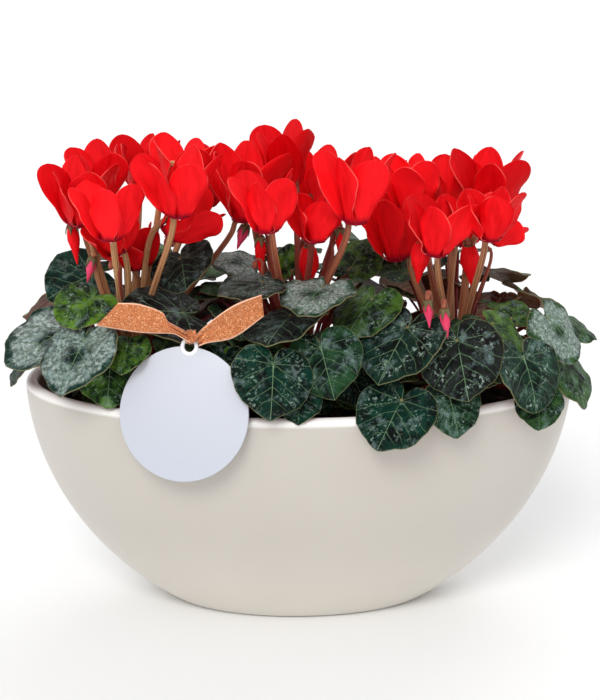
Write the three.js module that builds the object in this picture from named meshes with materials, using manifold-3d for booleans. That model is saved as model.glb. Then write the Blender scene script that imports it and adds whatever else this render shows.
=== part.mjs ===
// A potted cyclamen: three red-flowered cyclamen plants growing side by side in one oval ceramic
// bowl, with a ribbon and a blank round tag hung over the bowl's rim at the front.
//
// Millimetres, +Z up. The origin is the centre of the bowl's flat foot, +X runs along the bowl
// and -Y is its front.

import * as THREE from "three";
import { mergeVertices } from "three/addons/utils/BufferGeometryUtils.js";
import Module from "manifold-3d";

const wasm = await Module();
wasm.setup();

const GAP = 0.35; // clearance between neighbouring pieces
const FOLD_LIMIT = 0.4; // keeps a sharp fold in a thin sheet from standing out too far
const SLIVER = 0.02; // edges shorter than this are dropped where a piece is cut

// Bowl
const BOWL_LENGTH = 360;
const BOWL_WIDTH = 190;
const BOWL_HEIGHT = 157;
const BOWL_CURVE_DEPTH = 180; // how deep the side's curve would run if the flat foot didn't end it
const BOWL_CURVE_POWER = 1.9; // 2 is an ellipse
const BOWL_WALL = 8;
const BOWL_FLOOR = 10;
const BOWL_SIDES = 32;
const OUTER_LEVELS = [0, 10, 32, 68, 110, 152];
const INNER_LEVELS = [151, 112, 72, 36, 10];

// Soil
const SOIL_LEVEL = 135;
const SOIL_MOUND = 3; // how much higher the soil lies in the middle
const SOIL_SIDES = 16;
const SOIL_CLEARANCE = 2; // its corners stay inside the bowl's flat facets
const SOIL_LEVELS = [BOWL_FLOOR + GAP, 36, 72, 112];

// Plants
const CROWNS = { left: [-112, 4], centre: [-4, 4], right: [102, 4] };
const CROWN_HEIGHT = 146;
const CORM_RADIUS = 20;
const CORM_DEPTH = 26;
const COLLAR_INNER = 11; // the ring where the leaf stalks crowd together round the flower stems
const COLLAR_OUTER = 15;
const COLLAR_HEIGHT = 4;
const LEAF_THICKNESS = 0.9;
const LEAF_STALK_RADIUS = 1.7;
const PETAL_THICKNESS = 0.9;
const PETAL_ROOT_WIDTH = 5.4;
const PETAL_WIDTH = 15; // how broad a petal is, and how much of its length it gains on top
const PETAL_WIDENING = 0.24;
const PETAL_BROADEST = 0.66; // where along its length
const PETAL_TAPER = 1.7; // how much of its broadening comes late, towards that place
const PETAL_CURL = 0.14; // how far it curves away from the axis, as a share of its length
const STEM_RADIUS = 2;
const TUBE_LENGTH = 11.5; // from a flower's mouth up to its calyx
const TUBE_TOP_RADIUS = 3.2;
const MOUTH_RADIUS = 5.2;
const MOUTH_ROLL = 3.2; // how far the petals roll outward as they fold back
const HOOK_REACH = 9.5; // how far beside the flower its stem comes up before it hooks over

// Tag and ribbon
const TAG_CENTRE = [-75, -86.35, 159.2];
const TAG_TURN = -18;
const TAG_LEAN = 18;
const TAG_RADIUS = 42;
const TAG_THICKNESS = 1.6;
const TAG_EYE_OUTER = 5.7;
const TAG_EYE_HOLE = 3.4;
const TAG_EYE_THICKNESS = 2.4;
const RIBBON_THICKNESS = 0.8;
const RIBBON_LOOP_RADIUS = 4.2;
const RIBBON_LOOP_THICKNESS = 1;

const COLOURS = {
  bowl: [0xd6cfc2, 0.55],
  soil: [0x2b2119, 1],
  stem: [0x7a3526, 0.5],
  leaf: [0x1f4a2c, 0.45],
  petal: [0xe3101c, 0.5],
  redBud: [0xd01228, 0.5],
  pinkBud: [0xe0406e, 0.5],
  ribbon: [0xc4703c, 0.6],
  tag: [0xd9dfec, 0.4],
};

// Leaves, where each blade meets its stalk: turn and reach from the plant's crown, height over the
// soil, then the heading and droop of its tip, its length, and its roll about its midrib
const LEAVES = {
  left: [
    [148, 29, 81, -146, 13, 34, -34],
    [-116, 47, 82, -134, 19, 29, -10],
    [-149, 46, 55, -152, 18, 45, -4],
    [-168, 65, 38, -149, 40, 25, 15],
    [-110, 72, 62, -123, 40, 39, 6],
    [-98, 62, 52, -97, 60, 35, -20],
    [-88, 66, 59, -104, 32, 22, 5],
    [-50, 57, 72, -160, -15, 42, -14],
    [-21, 38, 100, -84, 24, 31, 24],
    [-38, 57, 43, -60, 50, 32, 0],
    [-132, 54, 40, -120, 42, 22, 0],
    [77, 31, 90, 60, -15, 27, 12],
  ],
  centre: [
    [-114, 52, 93, -154, 4, 31, -5],
    [-94, 51, 72, -116, 6, 39, 12],
    [-100, 89, 52, -94, 48, 36, -12],
    [-79, 77, 59, -73, 49, 34, 24],
    [-89, 87, 30, -99, 35, 19, 0],
    [-74, 58, 92, -119, 10, 34, 0],
    [-127, 76, 44, -112, 66, 33, 25],
    [98, 7, 86, 95, -58, 18, -12],
    [13, 39, 86, 50, -40, 26, 0],
    [172, 30, 89, 160, -20, 27, 0],
    [-60, 62, 40, -45, 48, 30, 0],
  ],
  right: [
    [-143, 73, 80, -130, 32, 34, 0],
    [-118, 79, 69, -128, 33, 42, -6],
    [-114, 105, 30, -127, 40, 36, -12],
    [-95, 82, 64, -79, 49, 38, 14],
    [-98, 90, 31, -67, 53, 27, 0],
    [-63, 79, 49, -60, 53, 36, -12],
    [-15, 74, 29, -49, 45, 33, -24],
    [-29, 65, 63, -24, 44, 34, 10],
    [5, 74, 48, -13, 17, 24, 0],
    [-70, 54, 65, -12, 28, 27, 0],
    [-41, 45, 62, 76, -30, 18, 0],
    [-56, 84, 23, -96, 47, 22, 0],
    [168, 33, 83, 150, -10, 22, -12],
  ],
};
const BACK_LEAVES = [4, 3]; // how many more each plant has behind, in an outer and an inner row
const BACK_SEEDS = { left: 78, centre: 7, right: 16455 }; // the draws that leave them clear of each other

// Flowers: the mouth's place, the flower's length, how far it leans to the right, and how far its
// petals spread as a share of their length
const BLOOMS = {
  left: [
    [-140, -28, 266, 39, 2, 0.185],
    [-118.5, -63, 266, 35, -2, 0.185],
    [-115, -33, 249, 25, -22, 0.165],
    [-102, -5, 232, 25, -20, 0.165],
    [-127, 8, 272, 36, -4, 0.17],
    [-102, 43, 269, 36, 2, 0.2],
    [-79, 0, 281, 33, 10, 0.27],
    [-76, -66, 281, 38, -2, 0.365],
    [-64, 32, 262, 37, 6, 0.125],
    [-84, -28, 259, 35, 48, 0.185],
  ],
  centre: [
    [-37, -16, 265, 47, 2, 0.24],
    [-9, 9, 276, 43, 0, 0.1],
    [-22, -66, 271, 36, -4, 0.125],
    [11, 36, 257, 41, 4, 0.175],
    [8, -45, 259, 30, -1, 0.155],
    [32, -66, 276, 44, 0, 0.14],
  ],
  right: [
    [53, 42, 249, 38, -6, 0.2],
    [62, 0, 234, 46, -4, 0.16],
    [82, -59, 253, 36, 4, 0.225],
    [70, -3, 266, 36, -2, 0.125],
    [100, 40, 249, 42, 0, 0.185],
    [104, -5, 245, 30, 8, 0.165],
    [122, 16, 256, 43, 6, 0.16],
    [115, -64, 264, 30, 0, 0.18],
    [118, -33, 256, 22, 42, 0.165],
  ],
};

// Buds, which hang tip down: the place of the calyx end, the length and radius, the lean and the
// colour
const BUDS = {
  left: [
    [-146, -10, 261, 27, 4.2, -6, "redBud"],
    [-132, -28, 244, 17, 3.2, 14, "pinkBud"],
    [-35, -5, 258, 17, 3.6, 20, "pinkBud"],
  ],
  centre: [
    [-26, -20, 254, 26, 3.8, 0, "redBud"],
    [25, -25, 260, 20, 3.6, 0, "redBud"],
    [5, -16, 246, 31, 6.8, 0, "redBud"],
  ],
  right: [
    [75, -40, 255, 27, 6.5, 4, "redBud"],
    [106, -30, 250, 28, 6.5, -6, "redBud"],
    [76, -77, 228, 18, 3.2, -5, "pinkBud"],
    [86, -79, 223, 19, 3.3, -8, "pinkBud"],
  ],
};

// Ribbon: the middle of each cross-section and half of its width, from the knot outwards
const KNOT = [-69, -77.8, 206.7];
const LEFT_TAIL = [
  [[-72, -79.7, 207.2], [-1.5, 0, 3.5]],
  [[-81, -79.2, 212.4], [-2, 0, 3.8]],
  [[-89.5, -78.2, 216.1], [1.9, 0, 6.9]],
  [[-100.6, -77.2, 218.5], [0.8, 0, 8.9]],
  [[-121.3, -75.2, 220.9], [7.1, 0, 7.5]],
];
const RIGHT_TAIL = [
  [[-66, -80.2, 204.7], [-1, 0, 3]],
  [[-60.9, -79.7, 208.3], [-0.6, 0, 5.4]],
  [[-43.2, -77.7, 216.3], [0, 0, 10.3]],
  [[-25.5, -75.2, 225.5], [-0.6, 0, 7.2]],
];

const radians = THREE.MathUtils.degToRad;
const vector = (x, y, z) => new THREE.Vector3(x, y, z);

// Repeatable random numbers, as a function that draws one between two bounds
function seededDraws(seed) {
  let state = seed * 7919 + 17;
  return (low, high) => {
    state = (state * 1664525 + 1013904223) % 2 ** 32;
    return low + (high - low) * (state / 2 ** 32);
  };
}

// Turns a closed geometry into a solid that can be joined and cut
function solidFrom(geometry) {
  const bare = geometry.clone();
  bare.deleteAttribute("normal");
  bare.deleteAttribute("uv");
  const merged = mergeVertices(bare, 1e-4);
  const vertProperties = new Float32Array(merged.attributes.position.array);
  const triVerts = new Uint32Array(merged.index.array);
  return new wasm.Manifold(new wasm.Mesh({ numProp: 3, vertProperties, triVerts }));
}

function geometryFrom(solid) {
  const mesh = solid.getMesh();
  const geometry = new THREE.BufferGeometry();
  geometry.setAttribute("position", new THREE.BufferAttribute(mesh.vertProperties, 3));
  geometry.setIndex(new THREE.BufferAttribute(mesh.triVerts, 1));
  geometry.computeVertexNormals();
  return geometry;
}

function indexedSolid(points, index) {
  const geometry = new THREE.BufferGeometry().setFromPoints(points);
  geometry.setIndex(index);
  return solidFrom(geometry);
}

// A closed solid whose skin runs over rings of equal size, closed by a fan at each end
function ringsSolid(rings, firstCentre, lastCentre) {
  const sides = rings[0].length;
  const points = [...rings.flat(), firstCentre, lastCentre];
  const first = rings.length * sides;
  const last = first + 1;
  const lastRing = first - sides;
  const index = [];
  for (let j = 0; j < sides; j += 1) {
    const next = (j + 1) % sides;
    index.push(first, next, j);
    index.push(last, lastRing + j, lastRing + next);
    for (let start = 0; start < lastRing; start += sides) {
      index.push(start + j, start + next, start + sides + next);
      index.push(start + j, start + sides + next, start + sides + j);
    }
  }
  return indexedSolid(points, index);
}

// A thin solid: a sheet of triangles of one thickness, walled round its edge, whose two faces are
// split alike. Its skins stand further off where the sheet folds, so it stays as thick there.
function sheetSolid(points, faces, thickness) {
  const faceNormals = faces.map((face) => {
    const [a, b, c] = face.map((corner) => points[corner]);
    return new THREE.Triangle(a, b, c).getNormal(vector(0, 0, 0));
  });
  const offsets = points.map(() => vector(0, 0, 0));
  faces.forEach((face, i) => face.forEach((corner) => offsets[corner].add(faceNormals[i])));
  offsets.forEach((offset) => offset.normalize());
  const lean = points.map(() => 1);
  faces.forEach((face, i) => face.forEach((corner) => {
    lean[corner] = Math.min(lean[corner], Math.max(offsets[corner].dot(faceNormals[i]), FOLD_LIMIT));
  }));
  const shifted = (distance) =>
    points.map((point, i) => point.clone().addScaledVector(offsets[i], distance / lean[i]));
  const under = points.length;
  const index = [];
  const edges = new Set(faces.flatMap(([a, b, c]) => [`${a} ${b}`, `${b} ${c}`, `${c} ${a}`]));
  for (const [a, b, c] of faces) {
    index.push(a, b, c, under + a, under + c, under + b);
    for (const [from, to] of [[a, b], [b, c], [c, a]]) {
      if (!edges.has(`${to} ${from}`)) {
        index.push(to, from, under + from, to, under + from, under + to);
      }
    }
  }
  return indexedSolid([...shifted(thickness / 2), ...shifted(-thickness / 2)], index);
}

// A smooth curve that an extrusion steps along from one of its points to the next
class PointwiseCurve extends THREE.CatmullRomCurve3 {
  getPointAt(t, target) {
    return this.getPoint(t, target);
  }

  getTangentAt(t, target) {
    return this.getTangent(t, target);
  }
}

function tubeSolid(points, radius, sides) {
  const corners = [];
  for (let i = 0; i < sides; i += 1) {
    const angle = (i / sides) * 2 * Math.PI;
    corners.push(new THREE.Vector2(radius * Math.cos(angle), radius * Math.sin(angle)));
  }
  const extrudePath = new PointwiseCurve(points, false, "centripetal");
  const steps = points.length - 1;
  return solidFrom(new THREE.ExtrudeGeometry(new THREE.Shape(corners), { steps, extrudePath }));
}

function lathedSolid(profile, sides) {
  const points = profile.map(([radius, height]) => new THREE.Vector2(radius, height));
  const geometry = new THREE.LatheGeometry(points, sides);
  return solidFrom(geometry.rotateX(Math.PI / 2));
}

function placed(solid, matrix) {
  return solid.transform(matrix.elements);
}

function boxesMeet(a, b) {
  const first = a.boundingBox();
  const second = b.boundingBox();
  return [0, 1, 2].every((k) => first.min[k] < second.max[k] && second.min[k] < first.max[k]);
}

function joined(solids) {
  return solids.reduce((sum, solid) => sum.add(solid));
}

// Cuts a solid clear of its neighbours and keeps its largest piece, without the cuts' slivers
function clearOf(solid, neighbours) {
  let rest = solid;
  for (const neighbour of neighbours) {
    if (boxesMeet(rest, neighbour)) rest = rest.subtract(neighbour);
  }
  const pieces = rest.simplify(SLIVER).decompose();
  return pieces.reduce((largest, piece) => (piece.volume() > largest.volume() ? piece : largest));
}

// How far the bowl's side stands out at a height, as a share of its size at the rim
function bowlScale(height) {
  const depth = (BOWL_HEIGHT - height) / BOWL_CURVE_DEPTH;
  return (1 - depth ** BOWL_CURVE_POWER) ** (1 / BOWL_CURVE_POWER);
}

// A level ring of points round the bowl, a distance inside its outer side
function bowlRing(height, inset, sides) {
  const halfX = (BOWL_LENGTH / 2) * bowlScale(height) - inset;
  const halfY = (BOWL_WIDTH / 2) * bowlScale(height) - inset;
  const ring = [];
  for (let i = 0; i < sides; i += 1) {
    const angle = (i / sides) * 2 * Math.PI;
    ring.push(vector(halfX * Math.cos(angle), halfY * Math.sin(angle), height));
  }
  return ring;
}

function bowlSolid() {
  const outer = OUTER_LEVELS.map((height) => bowlRing(height, 0, BOWL_SIDES));
  const lip = [
    bowlRing(BOWL_HEIGHT - 1, 1, BOWL_SIDES),
    bowlRing(BOWL_HEIGHT, BOWL_WALL / 2, BOWL_SIDES),
    bowlRing(BOWL_HEIGHT - 1, BOWL_WALL - 1, BOWL_SIDES),
  ];
  const inner = INNER_LEVELS.map((height) => bowlRing(height, BOWL_WALL, BOWL_SIDES));
  return ringsSolid([...outer, ...lip, ...inner], vector(0, 0, 0), vector(0, 0, BOWL_FLOOR));
}

function soilHeight(x, y) {
  const edge = Math.hypot(x / (BOWL_LENGTH / 2), y / (BOWL_WIDTH / 2));
  const clods = 0.8 * Math.sin(x / 7 + y / 11) + 0.7 * Math.sin(x / 13 - y / 6);
  return SOIL_LEVEL + SOIL_MOUND * (1 - edge ** 2) + clods;
}

function soilSolid() {
  const inset = BOWL_WALL + SOIL_CLEARANCE;
  const rings = SOIL_LEVELS.map((height) => bowlRing(height, inset, SOIL_SIDES));
  for (const share of [1, 0.7, 0.35]) {
    const ring = bowlRing(SOIL_LEVEL, inset, SOIL_SIDES).map((point) => {
      point.multiplyScalar(share);
      return point.setZ(soilHeight(point.x, point.y));
    });
    rings.push(ring);
  }
  const top = vector(0, 0, soilHeight(0, 0));
  return ringsSolid(rings, vector(0, 0, BOWL_FLOOR + GAP), top);
}

function cormSolid(crown, grow) {
  const radius = CORM_RADIUS + grow;
  const top = CROWN_HEIGHT + grow;
  const bottom = CROWN_HEIGHT - CORM_DEPTH - grow;
  const middle = (top + bottom) / 2;
  const profile = [
    [0, bottom],
    [radius * 0.6, bottom + 2],
    [radius, middle],
    [COLLAR_OUTER + 1 + grow, top],
    [0, top],
  ];
  const place = new THREE.Matrix4().makeTranslation(crown[0], crown[1], 0);
  return placed(lathedSolid(profile, 8), place);
}

function collarSolid(crown) {
  const bottom = CROWN_HEIGHT + GAP;
  const profile = [
    [COLLAR_INNER, bottom],
    [COLLAR_OUTER, bottom],
    [COLLAR_OUTER - 1, bottom + COLLAR_HEIGHT],
    [COLLAR_INNER, bottom + COLLAR_HEIGHT],
    [COLLAR_INNER, bottom],
  ];
  const place = new THREE.Matrix4().makeTranslation(crown[0], crown[1], 0);
  return placed(lathedSolid(profile, 8), place);
}

// A leaf's outline as its reach from the stalk, which is 1 at the tip and small in the notch
function leafEdge(degreesOffTip) {
  const heart = Math.cos(radians(degreesOffTip / 2)) ** 0.6;
  const point = 0.85 + 0.15 * Math.exp(-degreesOffTip / 25);
  return Math.max(heart * point, 0.09);
}

// Where a leaf's outline has its points, in degrees off the tip
const LEAF_ANGLES = [0, 25, 55, 88, 122, 158, 180, -158, -122, -88, -55, -25];
const LEAF_MIDDLE = 0.3; // where its facets meet, in lengths of the leaf

// How a blade rises and falls towards its edge, in lengths of the leaf
function leafRelief(x, y, angle, leaf) {
  const bend = -leaf.curl * x * Math.abs(x);
  return bend + leaf.cup * y * y + leaf.wave * Math.sin(radians(angle * 5 + leaf.phase));
}

function leafMatrix(leaf) {
  const place = new THREE.Matrix4().makeTranslation(leaf.x, leaf.y, leaf.z);
  place.multiply(new THREE.Matrix4().makeRotationZ(radians(leaf.heading)));
  place.multiply(new THREE.Matrix4().makeRotationY(radians(leaf.droop)));
  return place.multiply(new THREE.Matrix4().makeRotationX(radians(leaf.roll)));
}

function bladeSolid(leaf, grow) {
  const place = leafMatrix(leaf);
  const edge = LEAF_ANGLES.map((angle) => {
    const reach = leafEdge(Math.abs(angle));
    const x = reach * Math.cos(radians(angle));
    const y = reach * Math.sin(radians(angle));
    const outward = leaf.length + grow / reach;
    const z = leafRelief(x, y, angle, leaf) * leaf.length;
    return vector(x * outward, y * outward, z).applyMatrix4(place);
  });
  const faces = edge.map((_, i) => [0, 1 + i, 1 + ((i + 1) % edge.length)]);
  const middleHeight = -leaf.curl * LEAF_MIDDLE ** 2;
  const middle = vector(LEAF_MIDDLE, 0, middleHeight).multiplyScalar(leaf.length);
  middle.applyMatrix4(place);
  return sheetSolid([middle, ...edge], faces, LEAF_THICKNESS + 2 * grow);
}

function stalkSolid(leaf, crown, grow) {
  const out = vector(Math.cos(radians(leaf.turn)), Math.sin(radians(leaf.turn)), 0);
  const root = vector(crown[0], crown[1], CROWN_HEIGHT + GAP + COLLAR_HEIGHT / 2);
  root.addScaledVector(out, (COLLAR_INNER + COLLAR_OUTER) / 2);
  const tip = vector(leaf.x, leaf.y, leaf.z);
  const reach = Math.hypot(tip.x - root.x, tip.y - root.y);
  const rise = tip.z - root.z;
  const low = root.clone().addScaledVector(out, reach * 0.12).setZ(root.z + rise * 0.45);
  const high = tip.clone().addScaledVector(out, -reach * 0.35).setZ(tip.z - rise * 0.12);
  const curve = new THREE.CubicBezierCurve3(root, low, high, tip);
  return tubeSolid(curve.getPoints(3), LEAF_STALK_RADIUS + grow * 2, 3);
}

// A leaf from the place where its blade meets its stalk, with its own small differences
function leafAt(crown, turn, reach, rise, heading, droop, length, roll, draw) {
  return {
    turn,
    x: crown[0] + reach * Math.cos(radians(turn)),
    y: crown[1] + reach * Math.sin(radians(turn)),
    z: SOIL_LEVEL + 3 + rise,
    heading,
    droop,
    length,
    roll: roll + draw(-8, 8),
    curl: draw(0.02, 0.22),
    cup: draw(-0.2, 0.12),
    wave: draw(0.02, 0.05),
    phase: draw(0, 360),
  };
}

// The leaves that close the plant behind: a drooping outer row and a flatter inner one
function backLeaves(crown, seed) {
  const draw = seededDraws(seed);
  const rows = [
    { count: BACK_LEAVES[0], reach: 64, rise: 58, droop: 38, length: 36 },
    { count: BACK_LEAVES[1], reach: 43, rise: 84, droop: 12, length: 34 },
  ];
  return rows.flatMap(({ count, reach, rise, droop, length }) => {
    const leaves = [];
    for (let i = 0; i < count; i += 1) {
      const turn = 25 + ((i + 0.5) * 130) / count + draw(-8, 8);
      const far = reach + draw(-5, 5);
      const high = rise + draw(-8, 8);
      const tipped = droop + draw(-8, 8);
      const long = length + draw(-4, 4);
      leaves.push(leafAt(crown, turn, far, high, turn + draw(-15, 15), tipped, long, 0, draw));
    }
    return leaves;
  });
}

function leavesOf(name, seed) {
  const crown = CROWNS[name];
  const draw = seededDraws(seed);
  const front = LEAVES[name].map((row) => leafAt(crown, ...row, draw));
  return [...front, ...backLeaves(crown, BACK_SEEDS[name])];
}

// The frame of a flower or bud: its axis leans, and its stem comes up on the side of the crown
function flowerMatrix(crown, x, y, z, lean) {
  const place = new THREE.Matrix4().makeTranslation(x, y, z);
  place.multiply(new THREE.Matrix4().makeRotationY(radians(lean)));
  const towardsCrown = Math.atan2(crown[1] - y, crown[0] - x);
  return place.multiply(new THREE.Matrix4().makeRotationZ(towardsCrown));
}

// A flower stem, up from the crown and hooked over into the top of its flower or bud
function stemSolid(crown, place, top, hookReach, share, grow) {
  const hook = [
    vector(hookReach, 0, -8),
    vector(hookReach, 0, top * 0.5),
    vector(hookReach * 0.62, 0, top + 4),
    vector(hookReach * 0.1, 0, top + 3),
    vector(0, 0, top + GAP),
  ].map((point) => point.applyMatrix4(place));
  const aim = hook[0].clone().sub(vector(crown[0], crown[1], hook[0].z));
  const root = vector(crown[0], crown[1], CROWN_HEIGHT - 1);
  root.addScaledVector(aim.clone().normalize(), 3 + 5 * share);
  const rise = hook[0].z - root.z;
  const bend = root.clone().lerp(hook[0], 0.38).setZ(root.z + rise / 2);
  return tubeSolid([root, bend, ...hook], STEM_RADIUS + grow, 4);
}

// A petal's centre line: distance from the flower's axis and height over its mouth
function petalSpine(share, petal) {
  const folded = 1 - Math.exp(-share / 0.08);
  const height = petal.length * share - 2.5 * folded * (1 - share);
  const outward = petal.splay * share + petal.curl * share * share;
  return [MOUTH_RADIUS + MOUTH_ROLL * folded + petal.length * outward, height];
}

function petalHalfWidth(share, width) {
  const swelling = Math.sin((Math.PI / 2) * Math.min(share / PETAL_BROADEST, 1)) ** PETAL_TAPER;
  const rounding = Math.max(share - PETAL_BROADEST, 0) / (1 - PETAL_BROADEST);
  const root = PETAL_ROOT_WIDTH / 2;
  return (root + (width / 2 - root) * swelling) * Math.sqrt(1 - rounding ** 2.4);
}

// A point of a petal: its share of the length, and across from -1 to 1
function petalPoint(petal, share, across, grow) {
  const [out, height] = petalSpine(share, petal);
  const half = petalHalfWidth(share, petal.width);
  const twist = radians(petal.twist * share ** 0.4);
  const side = across * (half + grow);
  const dish = petal.dish * half * across * across;
  const x = out + side * Math.sin(twist) + dish * Math.cos(twist);
  const y = side * Math.cos(twist) - dish * Math.sin(twist);
  return vector(x, y, height).applyAxisAngle(vector(0, 0, 1), radians(petal.turn));
}

// A petal's rows of points, from its root in the mouth to its tip
const PETAL_ROWS = [[0, [-1, 1]], [0.34, [-1, 1]], [0.78, [-1, 0, 1]], [0.98, [-1, 1]]];
const PETAL_FACES = [
  [0, 3, 1], [0, 2, 3], [2, 5, 3], [2, 4, 5], [3, 5, 6], [4, 7, 5], [5, 7, 8], [5, 8, 6],
];

// Five petals and the short tube they fold back from, as one sheet
function bloomSolid(bloom, grow) {
  const points = [vector(0, 0, TUBE_LENGTH)];
  const faces = [];
  const count = bloom.petals.length;
  const perPetal = 1 + PETAL_ROWS.flatMap(([, across]) => across).length;
  bloom.petals.forEach((petal, k) => {
    const top = points.length;
    const nextTop = 1 + ((k + 1) % count) * perPetal;
    const shoulder = vector(TUBE_TOP_RADIUS + grow, 0, TUBE_LENGTH - 1);
    points.push(shoulder.applyAxisAngle(vector(0, 0, 1), radians(petal.turn)));
    for (const [share, across] of PETAL_ROWS) {
      points.push(...across.map((side) => petalPoint(petal, share, side, grow)));
    }
    faces.push([0, top, nextTop], [top, top + 1, top + 2]);
    faces.push([top, top + 2, nextTop], [top + 2, nextTop + 1, nextTop]);
    faces.push(...PETAL_FACES.map((face) => face.map((corner) => top + 1 + corner)));
  });
  points.forEach((point) => point.applyMatrix4(bloom.place));
  return sheetSolid(points, faces, PETAL_THICKNESS + 2 * grow);
}

// The petals' turns stand wider apart where the stem comes up
const PETAL_TURNS = [-114, -48, 48, 114, 180];

function petalsOf(length, spread, draw) {
  return PETAL_TURNS.map((turn) => ({
    turn: turn + draw(-4, 4),
    length: length * draw(0.94, 1.02),
    width: PETAL_WIDTH + PETAL_WIDENING * length + draw(-1, 1),
    splay: spread + draw(-0.05, 0.05),
    curl: PETAL_CURL + draw(-0.1, 0.1),
    twist: draw(32, 42),
    dish: draw(-0.25, 0.05),
  }));
}

// A furled bud that hangs tip down from its calyx
function budSolid(bud, grow) {
  const radius = bud.radius + grow;
  const profile = [
    [0, -bud.length - grow],
    [radius * 0.6, -bud.length * 0.72],
    [radius, -bud.length * 0.35],
    [radius * 0.6, grow],
    [0, grow],
  ];
  return placed(lathedSolid(profile, 7), bud.place);
}

function flowersOf(name, seed) {
  const crown = CROWNS[name];
  const draw = seededDraws(seed);
  const blooms = BLOOMS[name].map(([x, y, z, length, lean, spread]) => ({
    place: flowerMatrix(crown, x, y, z, lean),
    petals: petalsOf(length, spread, draw),
    share: draw(0, 1),
  }));
  const buds = BUDS[name].map(([x, y, z, length, radius, lean, colour]) => ({
    place: flowerMatrix(crown, x, y, z, lean),
    length,
    radius,
    colour,
    share: draw(0, 1),
  }));
  return { blooms, buds };
}

function stemsOf(name, flowers, grow) {
  const crown = CROWNS[name];
  const bloomStems = flowers.blooms.map(({ place, share }) =>
    stemSolid(crown, place, TUBE_LENGTH + PETAL_THICKNESS / 2, HOOK_REACH, share, grow));
  const budStems = flowers.buds.map(({ place, share, radius }) =>
    stemSolid(crown, place, 0, radius + 3.4, share, grow));
  return [...bloomStems, ...budStems];
}

function tagMatrix() {
  const place = new THREE.Matrix4().makeTranslation(...TAG_CENTRE);
  place.multiply(new THREE.Matrix4().makeRotationZ(radians(TAG_TURN)));
  return place.multiply(new THREE.Matrix4().makeRotationX(radians(-TAG_LEAN)));
}

// The tag stands in its own frame facing -Y, with its eye at the top
function tagSolid() {
  const disc = solidFrom(new THREE.CylinderGeometry(TAG_RADIUS, TAG_RADIUS, TAG_THICKNESS, 28));
  const eyeSize = [TAG_EYE_OUTER, TAG_EYE_OUTER, TAG_EYE_THICKNESS, 12];
  const holeSize = [TAG_EYE_HOLE, TAG_EYE_HOLE, TAG_EYE_THICKNESS * 2, 10];
  const eye = solidFrom(new THREE.CylinderGeometry(...eyeSize).translate(0, 0, TAG_RADIUS));
  const hole = solidFrom(new THREE.CylinderGeometry(...holeSize).translate(0, 0, TAG_RADIUS));
  return placed(disc.add(eye).subtract(hole), tagMatrix());
}

function tailSolid(rows, bow) {
  const points = rows.flatMap(([middle, half]) => {
    const centre = vector(...middle);
    const side = vector(...half);
    const low = centre.clone().sub(side);
    const high = centre.clone().add(side);
    return [low, centre.add(vector(0, bow, 0)), high];
  });
  const faces = [];
  for (let row = 0; row < rows.length - 1; row += 1) {
    for (const a of [3 * row, 3 * row + 1]) faces.push([a, a + 3, a + 4], [a, a + 4, a + 1]);
  }
  return sheetSolid(points, faces, RIBBON_THICKNESS);
}

// The ribbon: a loop through the tag's eye, a knot in front of it and two tails
function ribbonSolid() {
  const eyeTop = TAG_RADIUS + TAG_EYE_HOLE - 2 * GAP;
  const loopHeight = eyeTop - RIBBON_LOOP_THICKNESS + RIBBON_LOOP_RADIUS;
  const loopShape = new THREE.TorusGeometry(RIBBON_LOOP_RADIUS, RIBBON_LOOP_THICKNESS, 4, 12);
  loopShape.rotateY(Math.PI / 2).translate(0, 0, loopHeight);
  const loop = placed(solidFrom(loopShape), tagMatrix());
  const knotShape = new THREE.SphereGeometry(4.5, 7, 5).scale(1, 0.6, 0.9);
  const knot = solidFrom(knotShape.translate(...KNOT));
  return joined([loop, knot, tailSolid(LEFT_TAIL, -1), tailSolid(RIGHT_TAIL, 1)]);
}

function addMesh(group, name, solid, [color, roughness]) {
  const material = new THREE.MeshStandardMaterial({ color, roughness, metalness: 0 });
  const mesh = new THREE.Mesh(geometryFrom(solid), material);
  mesh.name = name;
  group.add(mesh);
}

// The bowl and the soil, a little enlarged, for the leaves and flowers to clear
function enlargedHolders() {
  const wider = new THREE.Matrix4().makeScale(
    1 + (2 * GAP) / BOWL_LENGTH,
    1 + (2 * GAP) / BOWL_WIDTH,
    1 + GAP / BOWL_HEIGHT,
  );
  const higher = new THREE.Matrix4().makeTranslation(0, 0, GAP);
  return [placed(bowlSolid(), wider), placed(soilSolid(), higher)];
}

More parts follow.
